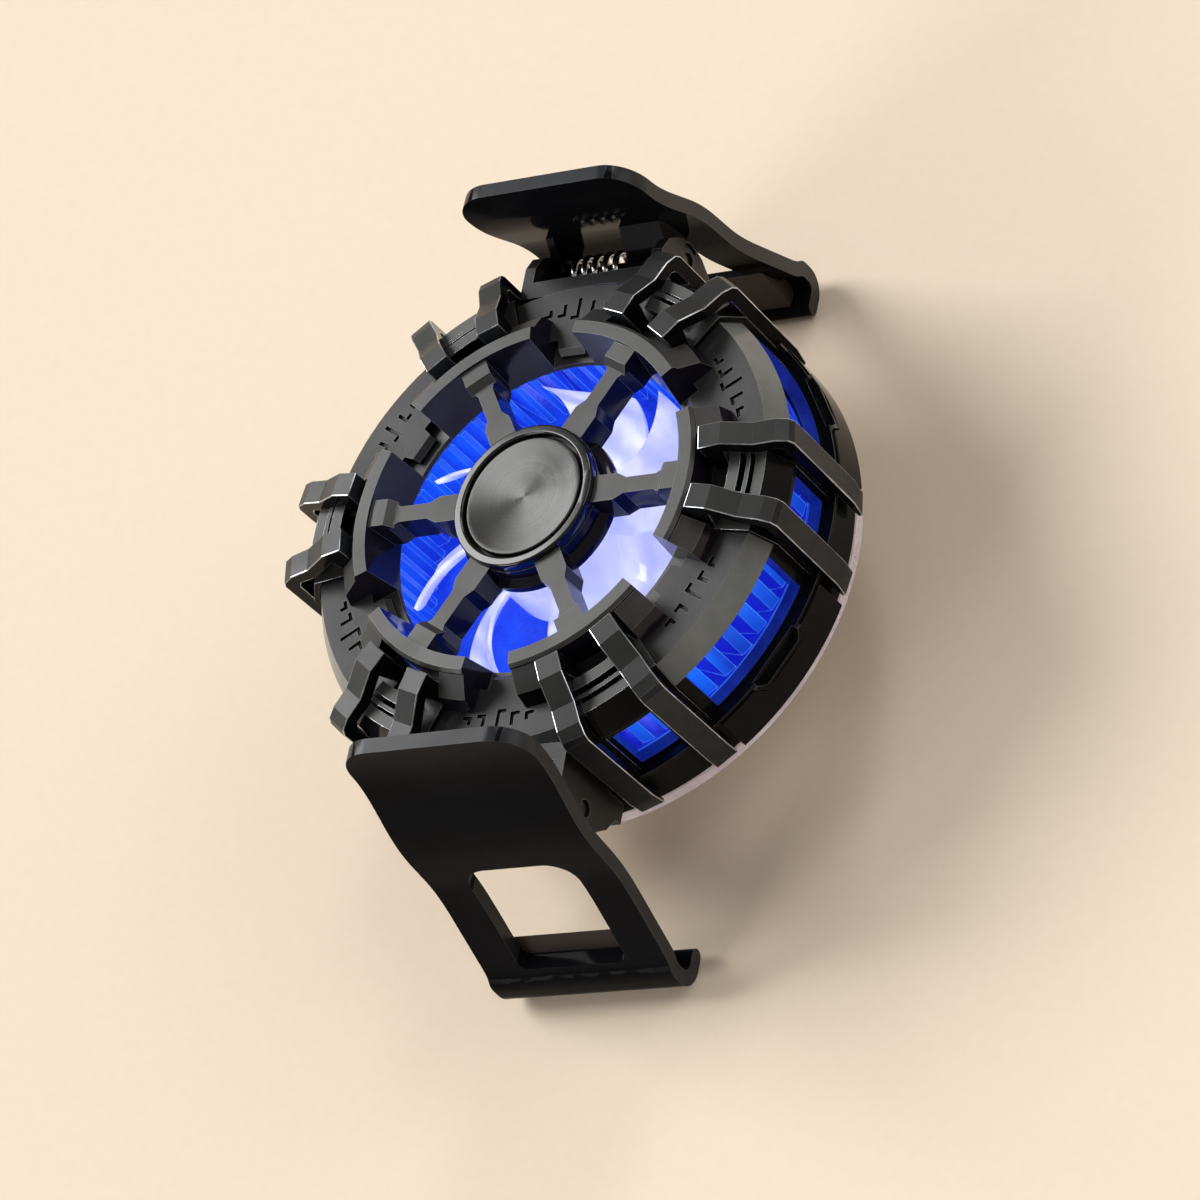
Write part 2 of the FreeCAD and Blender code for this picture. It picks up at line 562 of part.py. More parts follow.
cover_screws = new_body("cover_screws")
screw_head = rod(cover_screws, ("screw_circle", "0"), "screw_head", "screw_head_thick",
                 offset=("0", "0", "cover_level"))
screw_shank = rod(cover_screws, ("screw_circle", "0"), "screw_radius", "sink_floor - cover_level - seat_gap",
                  offset=("0", "0", "cover_level"))
repeat(cover_screws, [screw_head, screw_shank], "screw_count")

# Control board with the charging socket, behind the port in the side wall.
control_board = new_body("control_board")
turned(control_board, box_corners("board_inner", "wall_inner - 0.4", "cover_top", "cover_top + board_thick"),
       sweep="2 * board_angle", turn="port_angle")

PORT_BASE = "cover_top + board_thick"
PORT_OUTER = "panel_outer - 0.2"


def rounded_socket(grow, inner, outer):
    """Block with the charging socket's stadium outline, between two radii, at the port's place."""
    radius = value("port_height") / 2 + grow
    side = value("port_width") / 2 - value("port_height") / 2
    level = value("cover_top") + value("board_thick") + value("port_height") / 2
    middle = Part.makeBox(outer - inner, 2 * side, 2 * radius, FreeCAD.Vector(inner, -side, level - radius))
    ends = [Part.makeCylinder(radius, outer - inner, FreeCAD.Vector(inner, y, level), FreeCAD.Vector(1, 0, 0))
            for y in (-side, side)]
    shape = middle.fuse(ends).removeSplitter()
    shape.rotate(FreeCAD.Vector(), FreeCAD.Vector(0, 0, 1), value("port_angle"))
    return shape


port_mouth = value("panel_outer") - value("port_inset")
port_back = port_mouth - value("port_length")
socket = rounded_socket(0, port_back, port_mouth)
socket_hollow = rounded_socket(-value("port_wall"), port_back + value("port_floor"), port_mouth + 1)
tongue_length = value("port_length") - value("port_floor") / 2 - value("tongue_inset")
tongue_level = value("cover_top") + value("board_thick") + value("port_height") / 2 - value("tongue_thick") / 2
socket_tongue = Part.makeBox(tongue_length, value("tongue_width"), value("tongue_thick"),
                             FreeCAD.Vector(port_back + value("port_floor") / 2, -value("tongue_width") / 2,
                                            tongue_level))
socket_tongue.rotate(FreeCAD.Vector(), FreeCAD.Vector(0, 0, 1), value("port_angle"))
usb_socket = keep(doc.addObject("Part::Feature", "Socket"), "usb_c_socket")
usb_socket.Shape = socket.cut(socket_hollow).fuse(socket_tongue)

port_tool = doc.addObject("Part::Feature", "PortTool")
port_tool.Shape = rounded_socket(value("port_play"), value("wall_inner") - 1.5, value("panel_outer") + 1)


def with_port(body, node):
    """Cuts the charging port through a finished body."""
    parts.remove(body)
    body.Label = node + "_blank"
    cut = keep(doc.addObject("Part::Cut", "Cut"), node)
    cut.Base = body
    cut.Tool = port_tool
    return cut


# Side wall with six large and six small windows, closed at their tops by the bezel.
housing = ring("window_housing", "wall_inner", "wall_radius", "wall_base", "wall_top")


def window(body, half_angle, turn):
    """A window cut down from the wall's top to the sill."""
    near, far = "wall_inner - 1", "wall_radius + 1"
    low, high = "(%s - %s)" % (turn, half_angle), "(%s + %s)" % (turn, half_angle)
    corners = [("(%s) * cos%s" % (r, a), "(%s) * sin%s" % (r, a)) for r, a in
               ((near, low), (far, low), (far, high), (near, high))]
    return prism(body, corners, "wall_top - sill_level", offset=("0", "0", "wall_top"), cut=True)


repeat(housing, [window(housing, "large_window_angle", "30"), window(housing, "small_window_angle", "0")], "6")


def clip_screw_holes(body):
    """Holes for the four screws that hold the clip bases."""
    for side in ("clip_screw_side", "-clip_screw_side"):
        rod(body, (side, "clip_screw_level"), "clip_screw_radius + seat_gap", "4 * wall_radius",
            plane="XZ_Plane", cut=True, both=True)


clip_screw_holes(housing)
with_port(housing, "window_housing")

# Lower band: ring under the windows with a ledge at its top.
band = new_body("lower_band")
turned(band, [("band_inner", "wall_base"), ("band_outer", "wall_base"), ("band_outer", "ledge_base"),
              ("ledge_outer", "ledge_base"), ("ledge_outer", "ledge_top"), ("band_inner", "ledge_top")])
clip_screw_holes(band)
jog_half = "(notch_half + notch_flare - ledge_thick - 2 * jog_gap)"
for sector in SECTORS:
    if sector in CLIP_SECTORS or sector == value("port_angle"):
        continue
    foot = ("band_outer * sin(%g)" % sector, "0", "band_outer * cos(%g)" % sector)
    prism(band, box_corners("-" + jog_half, jog_half, "ledge_base - 1", "ledge_top + 1"), "ledge_reach + 1",
          plane="YZ_Plane", offset=foot, turn="%g" % sector, cut=True, back=True)
    left = [("-(notch_half + notch_flare - jog_gap)", "ledge_base + 0.1"),
            ("-(notch_half - jog_gap)", "ledge_base - notch_depth + jog_gap")]
    inner = [("-(notch_half - jog_gap - 0.25)", "ledge_base - notch_depth + jog_gap + ledge_thick"),
             ("-" + jog_half, "ledge_base + 0.1")]
    right = [(x[1:], y) for x, y in reversed(left)]
    inner_right = [(x[1:], y) for x, y in reversed(inner)]
    prism(band, left + right + inner_right + inner, "ledge_reach + 0.1", plane="YZ_Plane", offset=foot,
          turn="%g" % sector)
with_port(band, "lower_band")

# Clear ring at the back that glows.
ring("clear_light_ring", "wall_inner", "wall_radius + light_ring_reach", "cover_level",
     "cover_level + light_ring_height")

# Trim panels on the band, with a notch in the middle of the upper edge; the one at the port has none.
number = 0
for sector in SECTORS:
    if sector in CLIP_SECTORS:
        continue
    number += 1
    panel = new_body("trim_panel_%d" % number, sector)
    turned(panel, box_corners("panel_inner", "panel_outer", "wall_base", "ledge_base - seat_gap"),
           sweep="2 * panel_angle")
    if sector == value("port_angle"):
        panel.Placement = FreeCAD.Placement()
        panel.Placement.Rotation = FreeCAD.Rotation(FreeCAD.Vector(0, 0, 1), sector)
        with_port(panel, "trim_panel_%d" % number)
        continue
    prism(panel, [("-notch_half", "ledge_base - notch_depth"), ("notch_half", "ledge_base - notch_depth"),
                  ("notch_half + notch_flare", "ledge_base"), ("-notch_half - notch_flare", "ledge_base")],
          "panel_thick + 4", plane="YZ_Plane", offset=("0", "0", "panel_outer + 2"), cut=True)

# Bezel: flat ring with tabs, engraved marks and a chamfered skirt that closes the windows.
bezel = new_body("front_bezel")
turned(bezel, [("bezel_inner", "bezel_under"), ("wall_inner + seat_gap", "bezel_under"),
               ("wall_inner + seat_gap", "wall_top"), ("wall_radius", "wall_top"), ("bezel_edge", "bezel_face"),
               ("bezel_inner", "bezel_face")])
tab = prism(bezel, [("bezel_inner + 0.3", "-tab_half_wide"), ("bezel_inner + 0.3", "tab_half_wide"),
                    ("bezel_inner - tab_reach", "tab_half_narrow"), ("bezel_inner - tab_reach", "-tab_half_narrow")],
            "bezel_thick", offset=("0", "0", "bezel_face"), back=True)
tab_chamfer = prism(bezel, [("bezel_inner - tab_reach - 1", "bezel_face - 0.5"),
                            ("bezel_inner - tab_reach - 1", "bezel_face + 1"),
                            ("bezel_inner - tab_reach + 0.5", "bezel_face + 1"),
                            ("bezel_inner - tab_reach + 0.5", "bezel_face"),
                            ("bezel_inner - tab_reach", "bezel_face - 0.5")],
                    "2 * tab_half_wide", plane="XZ_Plane", cut=True, both=True)


def mark(step, length):
    """One engraved mark: a bar along the radius with a small foot at its inner end."""
    sketch = new_sketch(bezel, "XY_Plane", ("0", "0", "bezel_face"))
    swing = "(%d * mark_step)" % step
    inner, outer = "(mark_radius - %s / 2)" % length, "(mark_radius + %s / 2)" % length
    side = "-1" if step < 0 else "1"
    corners = []
    for radius, across in ((inner, "-mark_width / 2"), (outer, "-mark_width / 2"), (outer, "mark_width / 2"),
                           (inner + " + mark_width", "mark_width / 2"),
                           (inner + " + mark_width", "mark_foot"), (inner, "mark_foot")):
        lateral = "(%s * (%s))" % (side, across)
        corners.append(("(%s) * cos%s - %s * sin%s" % (radius, swing, lateral, swing),
                        "(%s) * sin%s + %s * cos%s" % (radius, swing, lateral, swing)))
    polygon(sketch, corners)
    return raised(bezel, sketch, "mark_depth", cut=True)


marks = [mark(0, "mark_long")]
for step in (-1, 1):
    marks.append(mark(step, "mark_mid"))
    marks.append(mark(2 * step, "mark_short"))
repeat(bezel, [tab, tab_chamfer] + marks, "6")
bezel.Placement = FreeCAD.Placement(FreeCAD.Vector(), FreeCAD.Rotation(FreeCAD.Vector(0, 0, 1), 30))

# Grille: hub, six dog-bone spokes and the six raised lips, on a ring under the bezel's inner edge.
grille = new_body("front_grille")
turned(grille, [("0", "hub_base"), ("hub_radius + hub_flange", "hub_base"),
                ("hub_radius + hub_flange", "hub_base + hub_flange_thick"),
                ("hub_radius", "hub_base + hub_flange_thick + 0.4"), ("hub_radius", "hub_seat"), ("0", "hub_seat")])
turned(grille, [("opening_radius", "ring_base"), ("lip_outer", "ring_base"), ("lip_outer", "ring_top"),
                ("opening_radius + 0.1", "ring_top")])
spoke_plan = [("hub_radius - 1", "-spoke_half_wide"), ("hub_radius + 2.2", "-spoke_half_wide"),
              ("hub_radius + 3.2", "-spoke_half_narrow"), ("opening_radius - 2", "-spoke_half_narrow"),
              ("opening_radius - 1.1", "-spoke_half_wide"), ("opening_radius + lip_lean", "-spoke_half_wide")]
spoke_plan += [(x, y[1:]) for x, y in reversed(spoke_plan)]
spoke = prism(grille, spoke_plan, "spoke_rise + hub_floor", offset=("0", "0", "hub_base"))
spoke_block = prism(grille, [("opening_radius - 1.6", "bezel_face + spoke_rise - 0.1"),
                             ("opening_radius - 0.9", "bezel_face + spoke_rise + spoke_step"),
                             ("opening_radius + lip_lean", "bezel_face + spoke_rise + spoke_step"),
                             ("opening_radius + lip_lean", "bezel_face + spoke_rise - 0.1")],
                    "2 * spoke_half_wide", plane="XZ_Plane", both=True)
lip = turned(grille, [("opening_radius", "ring_base"), ("lip_outer", "ring_base"),
                      ("lip_outer", "lip_top - 0.3"), ("lip_outer - 0.3", "lip_top"),
                      ("opening_radius + lip_lean", "lip_top")], sweep="2 * lip_angle")
buttress = turned(grille, [("lip_outer - 0.4", "on_bezel"), ("lip_outer + buttress_reach", "on_bezel"),
                           ("lip_outer + buttress_reach - 0.5", "on_bezel + buttress_rise / 2"),
                           ("lip_outer - 0.4", "on_bezel + buttress_rise")], sweep="2 * lip_angle")
strap_seat = turned(grille, [("lip_outer", "on_bezel - 0.5"), ("lip_outer + buttress_reach + 1", "on_bezel - 0.5"),
                             ("lip_outer + buttress_reach + 1", "lip_top"), ("lip_outer", "lip_top")],
                    sweep="2 * buttress_start", cut=True)
repeat(grille, [spoke, spoke_block, lip, buttress, strap_seat], "6")
turned(grille, box_corners("0", "hub_radius + seat_gap", "hub_seat", "lip_top"), cut=True)

# Hub rim and spun disc on the hub.
ring("hub_rim", "hub_radius - rim_width", "hub_radius", "hub_seat + seat_gap", "hub_seat + seat_gap + rim_height")
hub_disc = new_body("hub_disc")
disc_edge = "hub_radius - rim_width - disc_groove"
turned(hub_disc, [("0", "hub_seat + seat_gap"), (disc_edge, "hub_seat + seat_gap"),
                  (disc_edge, "hub_seat + seat_gap + disc_height - 0.1"),
                  (disc_edge + " - 0.1", "hub_seat + seat_gap + disc_height"),
                  (disc_edge + " - 0.4", "hub_seat + seat_gap + disc_height"),
                  ("0", "hub_seat + seat_gap + disc_height - disc_dish")])

# Strap outline in its radial plane, from the front end over the shoulder to the lower end.
STRAP = [
    ("strap_front - 0.1", "on_bezel"), ("strap_front", "bezel_face + strap_crown"),
    ("strap_front + 2", "bezel_face + strap_crown - 0.2"), ("bezel_edge", "bezel_face + strap_knee"),
    ("strap_inner", "bezel_face + strap_knee - 0.35"), ("strap_outer - 0.3", "bezel_face + strap_shoulder"),
    ("strap_outer", "bezel_face + strap_shoulder - 0.6"), ("strap_outer", "strap_end + strap_toe"),
    ("strap_outer - 0.35", "strap_end"), ("strap_heel", "strap_end"),
    ("strap_heel", "ledge_top + seat_gap"), ("strap_inner", "ledge_top + seat_gap"),
    ("strap_inner", "bezel_face + 0.2"), ("strap_inner - 0.4", "bezel_face + 0.75"),
    ("bezel_edge - 0.2", "bezel_face + 0.95"), ("strap_front + 1.8", "bezel_face + 2.4"),
    ("strap_front + 1.1", "on_bezel"),
]
for index, cluster in enumerate(CLUSTERS, start=1):
    for side, swing in (("left", "strap_angle"), ("right", "-strap_angle")):
        strap = new_body("strap_%d_%s" % (index, side), cluster)
        prism(strap, STRAP, "strap_width", plane="XZ_Plane", turn=swing, both=True)

# Cross frame: two rails under a pair of straps, joined by plates over the bezel.
RAIL = [
    ("strap_front + 1.2", "on_bezel"), ("bezel_edge + 0.04", "on_bezel"), ("rail_inner", "wall_top + 0.06"),
    ("rail_inner", "ledge_top + seat_gap"), ("rail_outer", "ledge_top + seat_gap"),
    ("rail_outer", "wall_top + 0.2"), ("bezel_edge + 0.34", "on_bezel + rail_thick"),
    ("strap_front + 1.2", "on_bezel + rail_thick"),
]
PLATE_START = "(strap_front + 1.9)"
BAR_START = "(%s + cross_width + 0.45)" % PLATE_START
for index, cluster in enumerate(CLUSTERS, start=1):
    frame = new_body("cross_frame_%d" % index, cluster)
    prism(frame, RAIL, "rail_width", plane="XZ_Plane", turn="strap_angle", both=True)
    turned(frame, box_corners(PLATE_START, PLATE_START + " + cross_width", "on_bezel", "on_bezel + cross_rise"),
           sweep="2 * strap_angle - 6")
    turned(frame, box_corners(BAR_START, BAR_START + " + bar_width", "on_bezel", "on_bezel + bar_rise"),
           sweep="2 * strap_angle - 6")
    turned(frame, [("bezel_edge - 0.35", "on_bezel"), ("bezel_edge + 0.04", "on_bezel"),
                   ("rail_inner", "wall_top + 0.06"), ("rail_outer", "wall_top + 0.06"),
                   ("rail_outer", "wall_top + 0.5"), ("bezel_edge + 0.7", "on_bezel + shade_rise"),
                   ("bezel_edge - 0.35", "on_bezel + shade_rise")], sweep="2 * strap_angle - 6")
    prism(frame, RAIL, "rail_width", plane="XZ_Plane", turn="-strap_angle", both=True)


# Clips. Each piece is drawn for the upper side and turned half round for the lower one.
def clip_base(node, turn):
    """Base on the side wall: front face, two ears for the pin, a well for the spring."""
    body = new_body(node, turn)
    prism(body, [("wall_inner", "base_bottom"), ("clip_face", "base_bottom"), ("clip_face", "pin_level - 4.6"),
                 ("pin_reach + 0.3", "pin_level - 3.6"), ("pin_reach + ear_reach - 0.5", "pin_level - 2"),
                 ("pin_reach + ear_reach", "pin_level"), ("pin_reach + ear_reach - 0.5", "pin_level + 2"),
                 ("pin_reach + 0.3", "base_top - 0.7"), ("clip_face", "base_top"), ("wall_inner", "base_top")],
          "2 * base_half", plane="YZ_Plane", both=True)
    prism(body, [("clip_face", "base_bottom - 1"), ("clip_face", "pin_level - 2.2"),
                 ("well_face", "pin_level - 1.4"), ("well_face", "pin_level + 1.2"),
                 ("well_face - 0.8", "base_top + 1"), ("pin_reach + ear_reach + 1", "base_top + 1"),
                 ("pin_reach + ear_reach + 1", "base_bottom - 1")],
          "2 * ear_inner", plane="YZ_Plane", cut=True, both=True)
    turned(body, [("0", "base_bottom - 1"), ("base_inner", "base_bottom - 1"), ("base_inner", "ledge_top + seat_gap"),
                  ("band_inner", "ledge_top + seat_gap"), ("band_inner", "wall_top + 0.06"),
                  ("bezel_edge + 0.04", "on_bezel"), ("0", "on_bezel")], cut=True)
    rod(body, ("pin_reach", "pin_level"), "pin_radius + 0.02", "2 * base_half", plane="YZ_Plane",
        cut=True, both=True)
    for side in ("1", "-1"):
        turned(body, box_corners("%s * (base_half - 0.45)" % side, "%s * (base_half + 1)" % side, "1.15", "1.65")
               if side == "1" else
               box_corners("%s * (base_half + 1)" % side, "%s * (base_half - 0.45)" % side, "1.15", "1.65"),
               sweep="80", cut=True, axis="H_Axis", plane="XY_Plane", offset=("0", "pin_reach", "pin_level"))
        rod(body, ("%s * clip_screw_side" % side, "clip_screw_level"), "clip_screw_radius + seat_gap",
            "4 * wall_radius", plane="XZ_Plane", cut=True, both=True)
    return body


def clip_screws(node, turn):
    """Two screws through the foot of the base into the side wall."""
    body = new_body(node, turn)
    for side in ("1", "-1"):
        place = ("%s * clip_screw_side" % side, "clip_screw_level")
        rod(body, place, "clip_screw_radius", "clip_face - wall_inner + 0.4", plane="XZ_Plane",
            offset=("0", "0", "-wall_inner + 0.4"), back=True)
        rod(body, place, "clip_screw_head", "0.6", plane="XZ_Plane", offset=("0", "0", "-clip_face"), back=True)
    return body


def hinge_pin(node, turn):
    body = new_body(node, turn)
    rod(body, ("pin_reach", "pin_level"), "pin_radius", "2 * base_half - 0.6", plane="YZ_Plane", both=True)
    return body


def point(across, outward, up):
    """A point given from the middle of the hinge pin."""
    return FreeCAD.Vector(across, value("pin_reach") + outward, value("pin_level") + up)


def spline(points, first, last):
    """A smooth curve through points with given directions at its ends."""
    curve = Part.BSplineCurve()
    curve.interpolate(Points=points, InitialTangent=first, FinalTangent=last)
    return curve


def arm_profile(grow=0.0):
    """The arm seen along its pin: a strip of even thickness round one smooth middle line."""
    half = value("arm_thick") / 2 + grow
    bend, wall = value("jaw_bend"), value("jaw_stand") + 0.35
    bottom = -value("jaw_drop") + value("arm_thick") / 2
    lever = [(-value("lever_lean"), value("lever_rise")), (-value("lever_lean") + 0.55, value("lever_knee"))]
    body_line = [(value("shoulder_stand"), value("shoulder_rise")), (value("waist_stand"), -value("waist_drop")),
                 (value("hip_stand"), -value("hip_drop")), (value("jaw_stand"), -value("jaw_knee")),
                 (wall, bottom + bend)]
    points = [point(0, y, z) for y, z in lever + body_line]
    down = FreeCAD.Vector(0, 0, -4)
    middle = spline(points, FreeCAD.Vector(0, 0.05, -5), down)
    samples = 14
    start, end = middle.FirstParameter, middle.LastParameter
    sides = []
    for sign in (1, -1):
        offset_points = []
        for i in range(samples + 1):
            at = start + (end - start) * i / samples
            tangent = middle.tangent(at)[0]
            normal = FreeCAD.Vector(0, -tangent.z, tangent.y) * (sign * half)
            offset_points.append(middle.value(at) + normal)
        sides.append(offset_points)
    outer, inner = sides
    lip = point(0, value("lip_end"), bottom)
    centre = point(0, wall - bend, bottom + bend)

    def corner(radius):
        diagonal = radius * math.sqrt(0.5)
        return Part.Arc(centre + FreeCAD.Vector(0, radius, 0), centre + FreeCAD.Vector(0, diagonal, -diagonal),
                        centre + FreeCAD.Vector(0, 0, -radius)).toShape()

    up_half = FreeCAD.Vector(0, 0, half)
    foot_out, foot_in = centre - FreeCAD.Vector(0, 0, bend + half), centre - FreeCAD.Vector(0, 0, bend - half)
    edges = [spline(outer, FreeCAD.Vector(0, 0.05, -5), down).toShape(),
             corner(bend + half),
             Part.LineSegment(foot_out, lip - up_half).toShape(),
             Part.Arc(lip - up_half, lip - FreeCAD.Vector(0, half, 0), lip + up_half).toShape(),
             Part.LineSegment(lip + up_half, foot_in).toShape(),
             corner(bend - half),
             spline(inner, FreeCAD.Vector(0, 0.05, -5), down).toShape(),
             Part.LineSegment(inner[0], outer[0]).toShape()]
    return Part.Face(Part.Wire(Part.__sortEdges__(edges)))


def rounded_block(half_width, low, high, radius_low, radius_high):
    """A block through the arm along Y with its four long edges rounded."""
    deep = 60
    block = Part.makeBox(2 * half_width, deep, high - low, point(-half_width, -deep / 2, low))
    for level, radius in ((low, radius_low), (high, radius_high)):
        z = value("pin_level") + level
        edges = [edge for edge in block.Edges
                 if abs(edge.BoundBox.YLength - deep) < 0.01 and abs(edge.CenterOfMass.z - z) < 0.01
                 and abs(abs(edge.CenterOfMass.x) - half_width) < 0.01]
        if radius > 0:
            block = block.makeFillet(radius, edges)
    return block


def knuckle(left, right):
    """One hinge knuckle with its web up to the arm, between two places along the pin."""
    radius = value("knuckle_radius")
    eye = Part.makeCylinder(radius, right - left, point(left, 0, 0), FreeCAD.Vector(1, 0, 0))
    half = value("arm_thick") / 2
    web_points = [point(left, -0.2, radius - 0.1), point(left, value("shoulder_stand") - half, value("shoulder_rise") + 2.6),
                  point(left, value("shoulder_stand") + 0.2, value("shoulder_rise")),
                  point(left, value("waist_stand") - half + 0.2, -0.6), point(left, 0, -radius)]
    web = Part.Face(Part.makePolygon(web_points + web_points[:1])).extrude(FreeCAD.Vector(right - left, 0, 0))
    return eye.fuse(web)


def arm_shape():
    """One clip arm: the strip cut to its outline and window, with two knuckles."""
    half_width = value("arm_half")
    strip = arm_profile().extrude(FreeCAD.Vector(2 * half_width, 0, 0))
    strip.translate(FreeCAD.Vector(-half_width, 0, 0))
    outline = rounded_block(half_width, -value("jaw_drop") - 5, value("lever_rise"), 0, value("lever_corner"))
    opening = rounded_block(value("window_half"), -value("window_bottom"), -value("window_top"),
                            value("window_corner_low"), value("window_corner"))
    plate = strip.common(outline).cut(opening)
    inside = value("knuckle_end")
    beside_spring = value("spring_end") + value("wire_thick") / 2 + value("well_play")
    knuckles = [knuckle(-inside, -inside + value("knuckle_thin")), knuckle(beside_spring, inside)]
    bore = Part.makeCylinder(value("pin_radius") + value("pin_play"), 3 * half_width, point(-1.5 * half_width, 0, 0),
                             FreeCAD.Vector(1, 0, 0))
    return plate.fuse(knuckles).cut(bore)


def pad_shape():
    """Rubber pad in the jaw: a strip on the jaw wall with a foot on the lip."""
    half, thick = value("pad_half"), value("pad_thick")
    floor = -value("jaw_drop") + value("arm_thick")
    face = value("jaw_stand") - value("arm_thick") / 2 - thick - 0.4
    depth = value("arm_thick")
    wall = Part.makeBox(2 * half, depth + thick, value("pad_rise"), point(-half, face, floor))
    foot = Part.makeBox(2 * half, depth, value("pad_foot"), point(-half, value("lip_end") + 0.1, floor))
    strip = arm_profile(value("seat_gap")).extrude(FreeCAD.Vector(4 * half, 0, 0))
    strip.translate(FreeCAD.Vector(-2 * half, 0, 0))
    pieces = wall.fuse(foot).cut(strip).Solids
    return min(pieces, key=lambda piece: piece.CenterOfMass.y)


def helix_point(angle):
    """Point and direction on the spring's helix; it starts downward on the inward side of the pin."""
    radius, rise = value("spring_radius"), value("spring_pitch") / (2 * math.pi)
    place = point(value("spring_start") + rise * angle, -radius * math.cos(angle), -radius * math.sin(angle))
    direction = FreeCAD.Vector(rise, radius * math.sin(angle), -radius * math.cos(angle))
    return place, direction.normalize()


def arc_from(start, direction, end):
    """The arc that leaves start in a direction and reaches end."""
    chord = end - start
    unit = FreeCAD.Vector(chord).normalize()
    side = (direction - unit * direction.dot(unit))
    half_angle = math.acos(max(-1.0, min(1.0, direction.dot(unit))))
    middle = (start + end) * 0.5 + side.normalize() * (chord.Length / 2 * math.tan(half_angle / 2))
    return Part.Arc(start, middle, end)


def spring_path():
    """Legs and quarter turns of the spring, each quarter as two arcs that meet in line."""
    arcs = []
    quarters = int(value("spring_quarters"))
    for quarter in range(quarters):
        start, first = helix_point(quarter * math.pi / 2)
        end, last = helix_point((quarter + 1) * math.pi / 2)
        gap, both = end - start, first + last
        bend = 2 * (1 - first.dot(last))
        reach = (-gap.dot(both) + math.sqrt(gap.dot(both) ** 2 + bend * gap.dot(gap))) / bend
        joint = (start + first * reach + end - last * reach) * 0.5
        arcs.append(arc_from(start, first, joint))
        arcs.append(arc_from(end, last * -1, joint))
    start, first = helix_point(0)
    end, last = helix_point(quarters * math.pi / 2)
    base_leg = Part.LineSegment(start - first * value("base_leg"), start)
    arm_leg = Part.LineSegment(end, end + last * value("arm_leg"))
    return base_leg, arcs, arm_leg


def spring_shape():
    """One unbroken round wire along the spring's path."""
    base_leg, arcs, arm_leg = spring_path()
    edges = [part.toShape() for part in [base_leg] + arcs + [arm_leg]]
    wire = Part.Wire(Part.__sortEdges__(edges))
    start = base_leg.StartPoint
    profile = Part.Wire(Part.makeCircle(value("wire_thick") / 2, start, base_leg.EndPoint - start))
    return wire.makePipeShell([profile], True, False)


def spring_self_gap():
    """Least distance between wire surfaces of turns at least half a turn apart."""
    steps = 24
    quarters = int(value("spring_quarters"))
    points = [helix_point(i * math.pi / 2 / steps)[0] for i in range(quarters * steps + 1)]
    apart = 2 * steps
    least = min((a - b).Length for i, a in enumerate(points) for b in points[i + apart:])
    return least - value("wire_thick")


UPRIGHT = FreeCAD.Vector(0, 0, 1)
for side, turn, tilt in (("upper", 0, -value("upper_arm_tilt")), ("lower", 180, 0)):
    clip_base(side + "_clip_base", turn)
    clip_screws(side + "_clip_screws", turn)
    hinge_pin(side + "_hinge_pin", turn)
    swing = FreeCAD.Placement(FreeCAD.Vector(), FreeCAD.Rotation(FreeCAD.Vector(1, 0, 0), tilt), point(0, 0, 0))
    for node, shape, place in (("arm", arm_shape(), swing), ("jaw_pad", pad_shape(), swing),
                               ("torsion_spring", spring_shape(), FreeCAD.Placement())):
        piece = keep(doc.addObject("Part::Feature", "Clip"), "%s_%s" % (side, node))
        piece.Shape = shape
        piece.Placement = FreeCAD.Placement(FreeCAD.Vector(), FreeCAD.Rotation(UPRIGHT, turn)).multiply(place)
print("torsion spring: least gap between turns %.2f mm" % spring_self_gap())

doc.recompute()
faults = [item.Label for item in doc.Objects if "Invalid" in item.State or "Error" in item.State]
for piece in parts:
    if piece.Shape.isNull() or not piece.Shape.isValid() or not piece.Shape.Solids:
        faults.append(piece.Label)
if faults:
    raise RuntimeError("not built: " + ", ".join(faults))

os.makedirs("parts", exist_ok=True)
for piece in parts:
    piece.Shape.exportStep("parts/%s.step" % piece.Label)
print("%d nodes" % len(parts))
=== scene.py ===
import math

import bpy
from mathutils import Matrix, Vector


